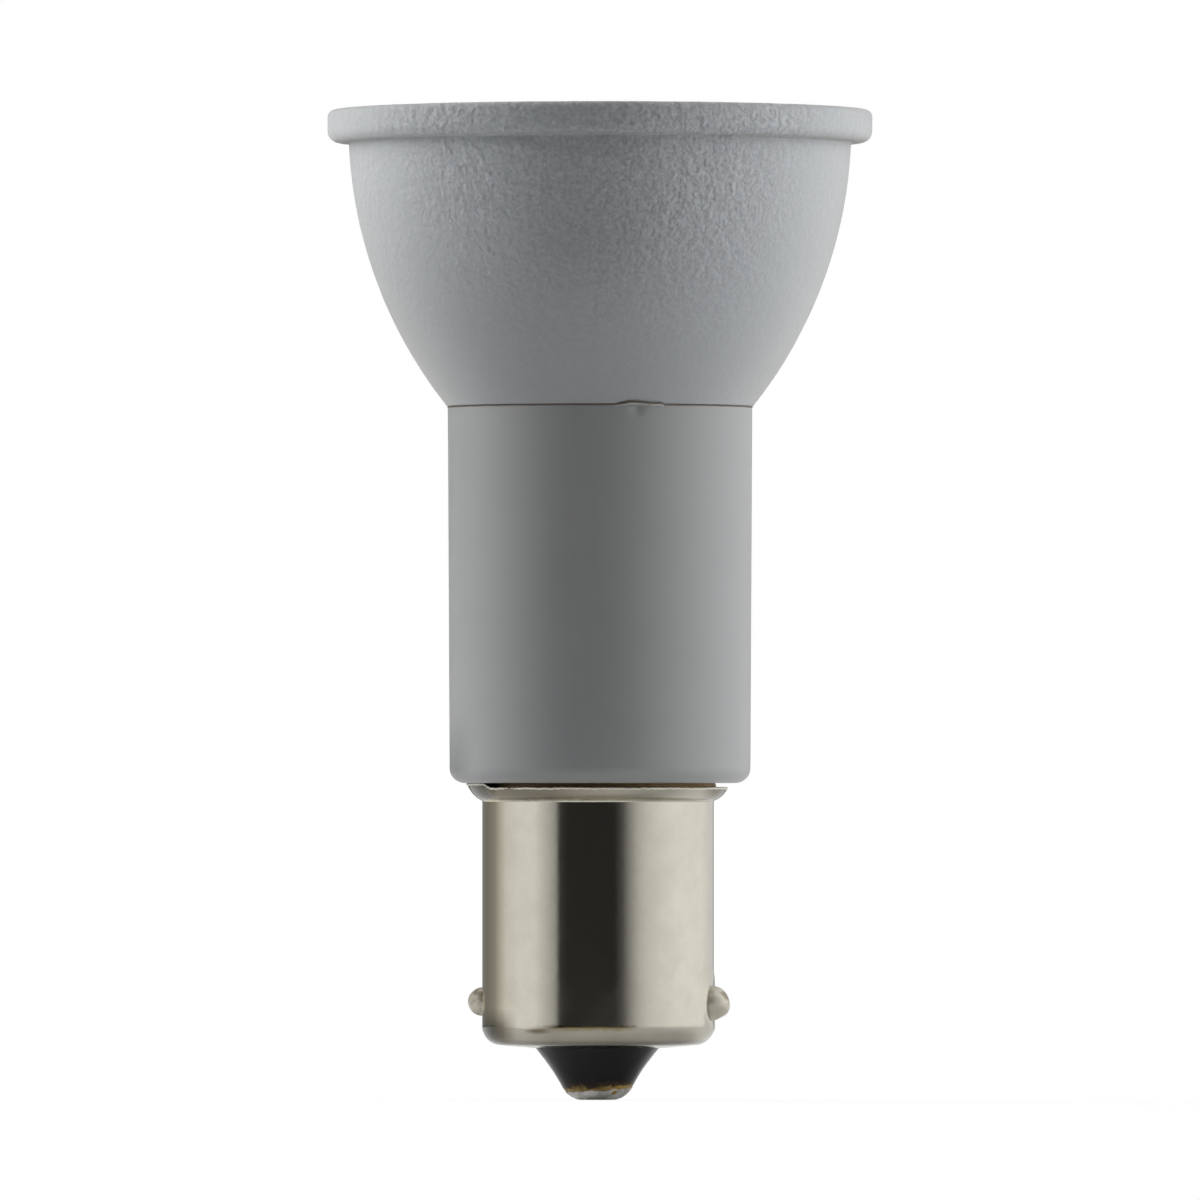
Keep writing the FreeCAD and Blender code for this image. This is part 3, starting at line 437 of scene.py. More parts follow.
def pin_plate(shell):
    """Nickel plate on a turned pin, scuffed by lamp holders."""
    # Duller than the shell, with fine scuffs and small brown spots where the brass shows through.
    finish, tree, shader = new_finish("scuffed nickel plate on turned brass", Metallic=1.0)
    place = add_node(tree, "TexCoord").outputs["Object"]
    scuffs = add_node(tree, "TexNoise", place, Scale=per_metre(0.5), Detail=4)
    spots = add_node(tree, "TexNoise", place, Scale=per_metre(1.1), Detail=2)
    bare = mark(tree, (spots, 0.56, 0.66, 0, 0.55))
    tone = stained(tree, shade(shell.plate, 1.1), (bare, hex_colour("#7A6240")))
    gloss = add_node(tree, "MapRange", scuffs, 0.3, 0.7, 0.48, 0.62)
    relief = add_node(tree, "Bump", Height=scuffs, Distance=0.05 * MM)
    wear(tree, shader, tone, gloss, relief)
    return finish


def along_edge(tree, contact, across, height, pattern, creep):
    """The height of a spot as the solder's sloping edge runs, made uneven by a creeping pattern."""
    level = add_node(tree, "Math", across, -contact.edge_slope, height, operation="MULTIPLY_ADD")
    return add_node(tree, "Math", pattern, creep, level, operation="MULTIPLY_ADD")


def pressed_glass(contact):
    """Black soda glass, pressed hot into the shell's base."""
    # Deep black with a smooth fire-polished shine, and an amber fringe where the solder burned it.
    finish, tree, shader = new_finish("pressed black glass", IOR=1.52, Specular_IOR_Level=0.3)
    place, across, _, height = surface_place(tree)
    ripple = add_node(tree, "TexNoise", place, Scale=per_metre(0.9), Detail=3)
    soot = add_node(tree, "TexNoise", place, Scale=per_metre(0.4), Detail=3)
    level = along_edge(tree, contact, across, height, soot, -0.6 * MM)
    smoke = mark(tree, (level, contact.edge + 0.3 * MM, contact.edge, 0, 1))
    burnt = mark(tree, (level, contact.edge - 0.02 * MM, contact.edge - 0.2 * MM, 0, 0.85))
    tone = stained(tree, shade(contact.glass, 1.0), (smoke, hex_colour("#35291A")),
                   (burnt, hex_colour("#9A8040")))
    gloss = add_node(tree, "MapRange", ripple, 0.3, 0.7, 0.12, 0.2)
    relief = add_node(tree, "Bump", Height=ripple, Distance=0.002 * MM)
    wear(tree, shader, tone, gloss, relief)
    return finish


def tinned_solder(contact):
    """Tin solder, dipped and left to freeze."""
    # Bright silver crystals in a dull crawled skin, with amber flux along its edge and in its pit.
    finish, tree, shader = new_finish("tinned solder", Metallic=1.0)
    place, across, _, height = surface_place(tree)
    skin = add_node(tree, "TexNoise", place, Scale=per_metre(0.6), Detail=4, Roughness=0.6)
    level = along_edge(tree, contact, across, height, skin, 0.3 * MM)
    pit_place = spot_at(contact.pit_turn, contact.pit_radius, contact.pit_height)
    pit_place.x -= contact.aside
    away = add_node(tree, "VectorMath", place, pit_place, operation="DISTANCE").outputs["Value"]
    dull = mark(tree, (skin, 0.4, 0.6, 0, 1))
    flux = strongest(tree, mark(tree, (level, contact.edge + 0.06 * MM, contact.edge + 0.16 * MM, 0, 0.9)),
                     mark(tree, (away, 0.24 * MM, 0.1 * MM, 0, 1)))
    tone = stained(tree, shade(contact.solder, 1.0), (dull, shade(contact.solder, 0.7)),
                   (flux, hex_colour("#8E6C34")))
    gloss = add_node(tree, "MapRange", skin, 0.3, 0.7, 0.32, 0.46)
    relief = add_node(tree, "Bump", Height=skin, Distance=0.2 * MM)
    wear(tree, shader, tone, gloss, relief)
    return finish


def moulded_acrylic(colour):
    """Clear acrylic, injection moulded against a polished cavity."""
    # Clear, with the slow ripple that a thick moulding has under its shine.
    finish, tree, shader = new_finish("clear moulded acrylic", Base_Color=shade(colour, 1.0), IOR=1.49,
                                      Transmission_Weight=1.0, Roughness=0.03)
    place = add_node(tree, "TexCoord").outputs["Object"]
    ripple = add_node(tree, "TexNoise", place, Scale=per_metre(4), Detail=1)
    wear(tree, shader, normal=add_node(tree, "Bump", Height=ripple, Distance=0.006 * MM))
    return finish


def grained(name, text, grain, depth, contrast, roughness, **constants):
    """A finish with one grain: its size and depth in millimetres, and how much it shades the colour."""
    # A grain that is too fine to show is drawn as coarse as 0.1 mm or more.
    finish, tree, shader = new_finish(name, Roughness=roughness, **constants)
    colour = hex_colour(text)
    place = add_node(tree, "TexCoord").outputs["Object"]
    pattern = add_node(tree, "TexNoise", place, Scale=per_metre(grain), Detail=3)
    tone = stained(tree, shade(colour, 1 - contrast), (pattern, shade(colour, 1 + contrast)))
    wear(tree, shader, tone, normal=add_node(tree, "Bump", Height=pattern, Distance=depth * MM))
    return finish


# Sizes and colours that a user would change

class BellSizes(PropertyGroup):
    """Sizes and colour of the cast bell."""
    foot_radius: length("Foot radius", "Radius of the bell's foot, over the sleeve", 10.06)
    mouth_radius: length("Mouth radius", "Radius where the side meets the rim", 16.5)
    side_curve: length("Side curve", "Radius of the swelling side", 29.7)
    overlap: length("Overlap", "How far the bell's foot reaches down over the sleeve", 0.06)
    rim_height: length("Rim height", "Height of the rim, from its underside", 2.14)
    rim_low_round: length("Rim's lower rounding", "Rounding of the rim's lower edge", 0.75)
    rim_high_round: length("Rim's upper rounding", "Rounding of the rim's upper edge", 0.45)
    cast_fillet: length("Cast fillet", "Rounding of the corner under the rim", 0.14)
    seat_radius: length("Seat radius", "Radius of the lens seat", 16.0)
    seat_depth: length("Seat depth", "Depth of the lens seat below the rim's top", 2.3)
    cavity_radius: length("Cavity radius", "Radius of the cavity at its mouth", 14.5)
    floor_radius: length("Floor radius", "Radius of the cavity's floor", 10.85)
    cavity_curve: length("Cavity curve", "Radius of the cavity's side", 28.0)
    skirt_radius: length("Skirt radius", "Outer radius of the skirt inside the sleeve", 8.77)
    skirt_wall: length("Skirt wall", "Thickness of the skirt", 1.2)
    floor_wall: length("Floor thickness", "Thickness of the bell's floor", 2.0)
    unevenness: length("Cast unevenness", "Depth of the casting's slow waves", 0.02)
    grit: length("Grit", "Width of a grain of the coat", 0.27)
    grit_depth: length("Grit depth", "Depth of the coat's grains", 0.15)
    coat: tint("Coat", "Colour of the powder coat", "#9DA1A4")


class SleeveSizes(PropertyGroup):
    """Sizes and colour of the moulded sleeve."""
    flash_start: rotation("Flash start", "Where the mould flash starts, from the front to the right", 5.5)
    flash_end: rotation("Flash end", "Where the mould flash ends, from the front to the right", 25.0)
    flash_height: length("Flash height", "How far the mould flash stands up over its bed", 0.18)
    flash_stray: length("Flash stray", "How far the flash's edge strays out and in", 0.07)
    flash_lip: length("Flash lip", "How much further the flash leans out than it stands up", 0.06)
    flash_bed: length("Flash bed", "How far below the joint the flash's bed lies", 0.17)
    sink_turn: rotation("Sink turn", "Where the sink mark is, from the front to the right", 13.8)
    sink_drop: length("Sink drop", "How far the sink mark lies below the joint", 0.35)
    sink_radius: length("Sink radius", "Radius of the sink mark", 0.75)
    sink_depth: length("Sink depth", "Depth of the sink mark", 0.1)
    plastic: tint("Plastic", "Colour of the moulded sleeve", "#8B8C8D")


class ShellSizes(PropertyGroup):
    """Sizes and colour of the drawn shell."""
    radius: length("Radius", "Radius of the bayonet cap's shell", 7.6)
    mouth_radius: length("Base hole", "Radius of the hole that holds the glass", 4.07)
    cone_rise: length("Cone rise", "How far the coned base rises to its edge", 0.31)
    corner: length("Base corner", "Rounding of the shell's base corner", 1.22)
    sheet: length("Sheet", "Thickness of the drawn sheet", 0.3)
    collar_drop: length("Collar height", "Height of the flared collar", 0.87)
    collar_curve: length("Collar curve", "Radius of the collar's flare", 1.5)
    root: length("Collar root", "Rounding where the collar leaves the side", 0.14)
    lip_wave: length("Lip wave", "Unevenness of the trimmed lip", 0.06)
    lip_lift: length("Lip lift", "How much higher the lip stands on the left", 0.28)
    lift_turn: rotation("Lift turn", "Where the lip stands higher, from the front to the right", -95.0)
    lift_reach: rotation("Lift reach", "How far the higher stretch reaches either way", 39.0)
    lift_slope: rotation("Lift slope", "Angle over which the lip comes down again", 5.0)
    lip_lean: length("Lip lean", "How much further the lip reaches on the left", 0.1)
    bulge: length("Bulge", "Height of the bulge on the base corner", 0.05)
    bulge_turn: rotation("Bulge turn", "Where the bulge is, from the front to the right", -32.0)
    bulge_rise: length("Bulge rise", "How far the bulge lies over the shell's base", 1.15)
    bulge_width: length("Bulge width", "Height over which the bulge fades", 0.3)
    bulge_reach: rotation("Bulge reach", "Angle over which the bulge fades", 9.167)
    swell: length("Staking swell", "How far the sheet swells round the right pin", 0.07)
    swell_radius: length("Swell radius", "Radius of the swell round the right pin", 1.8)
    swell_width: length("Swell width", "Width of the swell round the right pin", 0.35)
    aside: length("Aside", "How far the cap sits off the middle, to the left", 0.13)
    plate: tint("Nickel", "Colour of the nickel plate", "#D4D0C2")


class PinSizes(PropertyGroup):
    """Sizes of the bayonet pins."""
    turn: rotation("Turn", "Turn of the pins about the axis; below zero the right one comes forward", -8.0)
    left_head_radius: length("Left head radius", "Radius of the left pin's head", 0.93)
    right_head_radius: length("Right head radius", "Radius of the right pin's head", 1.25)
    right_drop: length("Right drop", "How much lower the right pin sits", 0.16)
    right_wear: FloatProperty(name="Right wear", description="Share worn off the right head's lower side",
                              default=0.16, min=0.0, max=0.5)
    shank_radius: length("Shank radius", "Radius of a pin's shank", 0.85)
    bed: length("Bed", "How deep the head's edge sits in the shell", 0.28)
    edge: length("Head edge", "Height of the head's straight edge", 0.1)
    stand: length("Stand", "How far a pin stands off the shell", 1.14)
    tail: length("Tail", "How far a pin reaches into the shell", 0.95)
    left_sink: length("Left sink", "How much deeper the left pin sits", 0.11)


class ContactSizes(PropertyGroup):
    """Sizes and colours of the glass and the soldered contact."""
    glass_foot_radius: length("Glass foot radius", "Radius of the glass at the solder", 2.36)
    glass_foot: length("Glass foot", "Height of the glass's foot over the tip", 0.95)
    glass_top_radius: length("Glass radius", "Radius of the glass at the shell", 4.04)
    glass_curve: length("Glass curve", "Radius of the glass's flare", 18.0)
    tip_radius: length("Tip radius", "Radius of the worn flat on the tip", 0.6)
    tip_curve: length("Tip curve", "Rounding of the solder", 1.7)
    edge: length("Solder edge", "Mean height of the solder's edge", 0.65)
    edge_slope: FloatProperty(name="Edge slope", default=0.06,
                              description="How steeply the solder's edge rises to the right")
    edge_wave: length("Edge wave", "Unevenness of the solder's edge", 0.05)
    skin: length("Solder skin", "How far the solder stands proud of the glass", 0.035)
    tuck: length("Solder tuck", "How far the solder's hidden top lies inside the glass", 0.25)
    pit_turn: rotation("Pit turn", "Where the pit is, from the front to the right", 33.0)
    pit_radius: length("Pit's place", "Distance of the pit from the axis", 2.05)
    pit_height: length("Pit height", "Height of the pit over the tip", 0.42)
    pit_depth: length("Pit depth", "Depth of the pit", 0.14)
    aside: length("Aside", "How far the contact sits off the middle, to the left", 0.18)
    glass: tint("Glass", "Colour of the glass", "#0A0A0B")
    solder: tint("Solder", "Colour of the solder", "#F0EFEA")


class FrontSizes(PropertyGroup):
    """Sizes and colour of the collimator lens."""
    flange_radius: length("Flange radius", "Radius of the lens's flange", 15.9)
    flange_thickness: length("Flange thickness", "Thickness of the lens's flange", 1.1)
    face_radius: length("Face radius", "Radius of the lens's front face", 14.3)
    shoulder_radius: length("Shoulder radius", "Radius of the lens under its flange", 14.4)
    crown: length("Crown", "How much higher the face is in its middle", 0.35)
    side_curve: length("Lens side", "Radius of the lens's swelling side", 20.0)
    foot_radius: length("Lens foot", "Radius of the lens at the LED", 4.3)
    hollow_radius: length("Hollow radius", "Radius of the hollow over the LED, at its mouth", 3.6)
    hollow_top_radius: length("Hollow top radius", "Radius of the hollow at its top", 3.1)
    hollow_depth: length("Hollow depth", "Depth of the hollow", 4.2)
    dome: length("Dome", "How far the dome hangs into the hollow", 0.8)
    lens: tint("Lens", "Colour of the clear lens", "#F8FBFC")


class StudioSizes(PropertyGroup):
    """The studio: floor, light and camera."""
    view_width: length("View width", "Width that the picture shows at the bulb", 78.8)
    camera_distance: length("Camera distance", "Distance of the camera in front of the axis", 1300.0)
    camera_height: length("Camera height", "Height of the camera over the floor", 20.0)
    aim_height: length("Aim height", "Height that the camera looks at", 32.8)
    floor_radius: length("Floor radius", "Radius of the round floor", 110.0)
    floor_back: length("Floor's middle", "How far the floor's middle lies behind the bulb", 40.0)
    lamp: FloatProperty(name="Lamps", description="Strength of the soft boxes on matt surfaces",
                        default=10.6, min=0.0)
    table: FloatProperty(name="Table", description="Strength of the light that the table throws back",
                         default=0.75, min=0.0)
    floor: tint("Floor", "Colour of the floor", "#D3D3D3")


# Pieces

def bell_outline(bell):
    """The bell's section, from under its floor round the skirt, side and rim to the cavity's floor."""
    foot = JOINT - bell.overlap
    rim_foot = RIM_TOP - bell.rim_height
    ledge = RIM_TOP - bell.seat_depth
    foot_round, seat_round = 0.08 * MM, 0.12 * MM
    side = arc((bell.foot_radius, foot), (bell.mouth_radius, rim_foot), bell.side_curve, steps=60)
    skirt_bore = bell.skirt_radius - bell.skirt_wall
    inside = rounded([
        (0, BOARD_PAD - bell.floor_wall, 0),
        (skirt_bore, BOARD_PAD - bell.floor_wall, 0),
        (skirt_bore, SKIRT_FOOT, 0),
        (bell.skirt_radius, SKIRT_FOOT, 0),
        (bell.skirt_radius, foot, 0),
    ])
    outside = rounded(
        [(bell.skirt_radius, foot, 0), (bell.foot_radius, foot, foot_round)]
        + [(spot.x, spot.y, 0) for spot in side[1:-2]]
        + [(bell.mouth_radius, rim_foot, bell.cast_fillet),
           (RIM_RADIUS, rim_foot, bell.rim_low_round),
           (RIM_RADIUS, RIM_TOP, bell.rim_high_round),
           (bell.seat_radius, RIM_TOP, seat_round),
           (bell.seat_radius, ledge, 0)])
    cavity = [Vector((bell.seat_radius, ledge)), Vector((bell.cavity_radius, ledge))]
    cavity += arc(cavity[-1], (bell.floor_radius, BOARD_PAD), -bell.cavity_curve, steps=14)
    cavity += [Vector((0, BOARD_PAD))]
    return inside[:-1] + finely(outside, step=0.2 * MM)[:-1] + finely(cavity, step=2 * MM)


class REFLECTOR_OT_bell(Operator):
    """Turn the cast bell with its rim, lens seat and powder coat"""
    bl_idname = "reflector.bell"
    bl_label = "Cast bell"

    def execute(self, context):
        bell = context.scene.reflector_bell

        def cast(angle, spot, out):
            """Wave the outside of the casting; its skirt and its inside stay true."""
            if spot.y < JOINT or out.x < -0.2:
                return spot
            place = around(angle, spot)
            wave = noise.noise(place / (2.6 * MM)) + 0.6 * noise.noise(place / (1.1 * MM))
            return spot + out * bell.unevenness * min(0.0, wave - 1) / 2

        piece = turned("cast_bell", bell_outline(bell), sides=384, work=cast)
        fit(piece, powder_coat(bell), "bell_coat", "bell_housing")
        return {"FINISHED"}


# The mould flash along its length: how far along, how high it stands and how far it stands proud.
FLASH = (
    (0.00, 0.00, 0.0),
    (0.16, 0.55, -1.5),
    (0.20, 0.65, 0.8),
    (0.32, 1.00, 0.8),
    (0.40, 0.90, 0.3),
    (0.44, 0.85, -1.5),
    (0.66, 0.60, -1.5),
    (0.70, 0.55, 0.6),
    (0.92, 0.45, 0.9),
    (1.00, 0.00, -1.5),
)

# The mould flash across, from its foot in the sleeve over its edge and back: the share of its lean
# and of how far it stands proud, then how far out and up from there in millimetres.
FLASH_SECTION = (
    (0.0, 0.0, -0.05, -0.45),
    (0.0, 0.0, -0.02, -0.16),
    (0.6, 1.0, 0.00, -0.11),
    (1.0, 1.0, 0.00, 0.00),
    (1.0, 0.5, 0.00, 0.03),
    (0.0, 0.0, -0.05, -0.05),
)


def flash_at(sleeve, front):
    """How high the mould flash stands, and how far it stands proud, at an angle from the front."""
    along = (front - sleeve.flash_start) / (sleeve.flash_end - sleeve.flash_start)
    for (start, *low), (end, *high) in zip(FLASH, FLASH[1:]):
        if start <= along <= end:
            rise, proud = Vector(low).lerp(Vector(high), (along - start) / (end - start))
            torn = 1 + 0.15 * noise.noise(Vector((along * 14, 0, 0)))
            return sleeve.flash_height * rise * torn, sleeve.flash_stray * proud
    return 0, 0


def mould_flash(sleeve, steps=72):
    """The mould flash: one closed piece that follows the sleeve's top edge."""
    points, faces = [], []
    size = len(FLASH_SECTION)
    for step in range(steps + 1):
        angle = sleeve.flash_start + step / steps * (sleeve.flash_end - sleeve.flash_start)
        rise, proud = flash_at(sleeve, angle)
        lean = rise + min(rise, sleeve.flash_lip)
        top = JOINT - sleeve.flash_bed + rise
        for lean_share, proud_share, out, up in FLASH_SECTION:
            stand = lean_share * lean + proud_share * proud + out * MM
            points.append(spot_at(angle, SLEEVE_RADIUS + stand, top + up * MM))
        if step:
            here, there = step * size, (step - 1) * size
            for side in range(size):
                after = (side + 1) % size
                faces.append((there + side, here + side, here + after, there + after))
    faces += [tuple(reversed(range(size))), tuple(range(steps * size, steps * size + size))]
    return piece_from("sleeve_flash", points, faces)


def epoxy_bead(name, text):
    """Epoxy, squeezed out of a joint and cured."""
    # A thin uneven line with a dull shine, darkened by the dust that it caught.
    return grained(name, text, 0.3, 0.02, 0.35, 0.5)


def bead(name, middle, thickness, finish, slot, stray, place=Matrix.Identity(4)):
    """A thin ring at (radius, height); stray(angle) moves it out and up all round."""
    corners = 10
    ring = [middle + Matrix.Rotation(math.tau * corner / corners, 2) @ Vector((thickness, 0))
            for corner in range(corners)]
    piece = turned(name, ring + ring[:1], sides=720,
                   work=lambda angle, spot, out: spot + stray(angle), place=place)
    fit(piece, finish, slot)


class REFLECTOR_OT_sleeve(Operator):
    """Finish the moulded sleeve and add the mould flash and the glue at its ends"""
    bl_idname = "reflector.sleeve"
    bl_label = "Moulded sleeve"

    def execute(self, context):
        sleeve = context.scene.reflector_sleeve
        coat(moulded_polycarbonate(sleeve), "neck_sleeve")
        # Polycarbonate whitened by stress, where the flash tore as the mould opened, and made paler still as
        # a painted highlight.
        whitened_and_highlighted = grained("stress-whitened polycarbonate with painted highlight", "#A3A5A3", 0.3, 0.01, 0.08, 0.45, IOR=1.58)
        fit(mould_flash(sleeve), whitened_and_highlighted, "neck_plastic")

        def over_flash(angle):
            """Lead the line of glue up over the mould flash, with a slight wave."""
            rise, _ = flash_at(sleeve, from_front(angle))
            wave = 0.012 * MM * noise.noise(Vector((angle * 12, 3, 0)))
            return Vector((rise + 2 * min(rise, sleeve.flash_lip), rise + wave))

        def uneven(angle):
            """Let the glue stand out more or less all round."""
            return Vector((0.04 * MM * noise.noise(Vector((angle * 9, 0, 7))), 0))

        joint_line = Vector((SLEEVE_RADIUS - 0.04 * MM, JOINT - 0.13 * MM))
        bead("joint_glue", joint_line, 0.07 * MM, epoxy_bead("squeezed-out dark epoxy", "#5C534B"),
             "chip_epoxy", over_flash)
        collar_gap = Vector((7.34 * MM, CAP_LIP + 0.12 * MM))
        bead("cap_glue", collar_gap, 0.26 * MM, epoxy_bead("squeezed-out brown epoxy", "#A08058"),
             "chip_epoxy", uneven)
        return {"FINISHED"}


def pin_angle(pins, side):
    """The angle of a pin about the axis; side is 1 on the right and -1 on the left."""
    return pins.turn + (0 if side > 0 else math.pi)


def pin_place(pins, shell, side):
    """The middle of a pin where it leaves the shell."""
    height = PIN_HEIGHT - (pins.right_drop if side > 0 else 0)
    return around(pin_angle(pins, side), Vector((shell.radius, height)))


def lip_shift(shell, angle):
    """How far the trimmed lip is out of true at an angle about the axis: outward and up."""
    front = from_front(angle)
    left = min(1.0, max(0.0, (shell.lift_reach - abs(front - shell.lift_turn)) / shell.lift_slope))
    way = around(angle, Vector((1, 0)))
    trim = 0.5 * noise.noise(way * 2.5) + 0.5 * noise.noise(way * 15) + 0.3
    return Vector((shell.lip_lean * left, shell.lip_lift * left + shell.lip_wave * trim))


def shell_outline(shell):
    """The drawn shell's section: base, side and collar outside, and back down inside."""
    root_height = CAP_LIP - shell.collar_drop
    lip_round = 0.1 * MM
    bore = shell.radius - shell.sheet
    flare = arc((shell.radius, root_height), (LIP_RADIUS, CAP_LIP), shell.collar_curve, steps=14)[2:]
    throat = (LIP_RADIUS - shell.sheet, CAP_LIP)
    inner_root = (bore, root_height + shell.sheet / 2)
    inner_flare = arc(throat, inner_root, shell.sheet - shell.collar_curve, steps=10)
    return finely(rounded(
        [(shell.mouth_radius, CAP_BASE, 0),
         (shell.radius, CAP_BASE + shell.cone_rise, shell.corner),
         (shell.radius, root_height, shell.root)]
        + [(spot.x, spot.y, 0) for spot in flare[:-1]]
        + [(LIP_RADIUS, CAP_LIP, lip_round), throat + (lip_round,)]
        + [(spot.x, spot.y, 0) for spot in inner_flare]
        + [(bore, CAP_BASE + shell.cone_rise + shell.sheet, shell.corner - shell.sheet),
           (shell.mouth_radius, CAP_BASE + shell.sheet, 0),
           (shell.mouth_radius, CAP_BASE, 0)], steps=12), step=0.25 * MM)


class REFLECTOR_OT_cap_shell(Operator):
    """Draw the bayonet cap's shell with its collar and the swell round the right pin"""
    bl_idname = "reflector.cap_shell"
    bl_label = "Drawn shell"

    def execute(self, context):
        shell = context.scene.reflector_shell
        pin = pin_place(context.scene.reflector_pins, shell, 1)

        def drawn(angle, spot, out):
            """Swell the sheet round the pin, bulge the base corner and put the lip out of true."""
            place = around(angle, spot)
            swell = shell.swell * hump((place - pin).length - shell.swell_radius, shell.swell_width)
            bulge = shell.bulge * hump(from_front(angle) - shell.bulge_turn, shell.bulge_reach)
            bulge *= hump(spot.y - CAP_BASE - shell.bulge_rise, shell.bulge_width)
            near_lip = max(0.0, 1 - (CAP_LIP - spot.y) / shell.collar_drop)
            return spot + Vector((swell + bulge, 0)) + near_lip * lip_shift(shell, angle)

        cap_place = Matrix.Translation((-shell.aside, 0, 0))
        piece = turned("drawn_shell", shell_outline(shell), sides=288, work=drawn, place=cap_place)
        fit(piece, nickel_plate(shell), "nickel_plate", "cap_shell")

        def trimmed(angle):
            """Lead the burr along the lip, ragged all round and sunk here and there."""
            ragged = noise.noise(around(angle, Vector((30, 0))))
            sunk = max(0.0, noise.noise(around(angle, Vector((5, 3)))))
            return lip_shift(shell, angle) + Vector((-0.09 * MM * sunk, 0.03 * MM * ragged))

        # Sheared edge of the sheet: bright torn metal under thin plate.
        torn = grained("sheared and plated edge", "#F4F0E2", 0.25, 0.06, 0.12, 0.4, Metallic=1.0)
        bead("lip_burr", Vector((LIP_RADIUS - 0.06 * MM, CAP_LIP - 0.07 * MM)), 0.07 * MM, torn,
             "nickel_plate", trimmed, cap_place)
        return {"FINISHED"}


def turned_pin(pins, shell, side, head_radius, worn):
    """A turned pin with a domed head, which has a share worn off its lower side."""
    tip = shell.radius + pins.stand - (0 if side > 0 else pins.left_sink)
    under_head = shell.radius - pins.bed
    edge = under_head + pins.edge
    rise = tip - edge
    # The dome is a little flatter than one that ends level at its tip.
    dome_curve = (head_radius ** 2 + rise ** 2) / (2 * rise) + 0.01 * MM
    outline = rounded([
        (0, shell.radius - pins.tail, 0),
        (pins.shank_radius, shell.radius - pins.tail, 0.1 * MM),
        (pins.shank_radius, under_head, 0),
        (head_radius, under_head, 0.04 * MM),
        (head_radius, edge, 0),
    ], steps=4) + arc((head_radius, edge), (0, tip), dome_curve, steps=16)

    def dented(angle, spot, out):
        """Dent the pin a little all over and wear the head's lower side down."""
        dent = noise.noise(around(angle, spot) / (0.8 * MM) + Vector((side * 5, 0, 0)))
        up = (spot.y - edge) / rise
        lost = worn * math.sin(math.pi * up) * max(0.0, math.cos(angle)) if up > 0 else 0
        return Vector((spot.x * (1 - lost), spot.y)) + out * 0.04 * MM * (dent - 1) / 2

    aim = Matrix.Rotation(pin_angle(pins, side), 4, "Z") @ Matrix.Rotation(math.pi / 2, 4, "Y")
    place = Matrix.Translation((-shell.aside, 0, pin_place(pins, shell, side).z)) @ aim
    name = "pin_right" if side > 0 else "pin_left"
    return turned(name, finely(outline, step=0.1 * MM), sides=72, work=dented, place=place)


class REFLECTOR_OT_pins(Operator):
    """Turn the two bayonet pins with their domed heads"""
    bl_idname = "reflector.pins"
    bl_label = "Bayonet pins"

    def execute(self, context):
        pins, shell = context.scene.reflector_pins, context.scene.reflector_shell
        finish = pin_plate(shell)
        for side, node, head_radius, worn in (
                (1, "bayonet_pin_right", pins.right_head_radius, pins.right_wear),
                (-1, "bayonet_pin_left", pins.left_head_radius, 0)):
            fit(turned_pin(pins, shell, side, head_radius, worn), finish, "nickel_plate", node)
        return {"FINISHED"}


def contact_outlines(contact):
    """The solder's section, up to its hidden top in the glass, and the section of the glass."""
    foot = (contact.glass_foot_radius, contact.glass_foot)
    tip = [Vector((0, 0)), Vector((contact.tip_radius, 0))]
    tip += arc(tip[-1], foot, contact.tip_curve, steps=12)
    flare = arc(foot, (contact.glass_top_radius, CAP_BASE), -contact.glass_curve, steps=12)
    # The glass reaches down inside the solder's round side, and the solder laps up on the glass.
    glass_start, solder_end = 5, 3
    solder = tip + flare[:solder_end]
    hidden = flare[solder_end].y
    solder += [Vector((solder[-1].x - contact.tuck, hidden)), Vector((0, hidden))]
    glass = [Vector((0, tip[glass_start].y)), *tip[glass_start:], *flare,
             Vector((contact.glass_top_radius, GLASS_TOP)), Vector((0, GLASS_TOP))]
    return finely(solder, step=0.07 * MM), finely(glass, step=0.12 * MM)


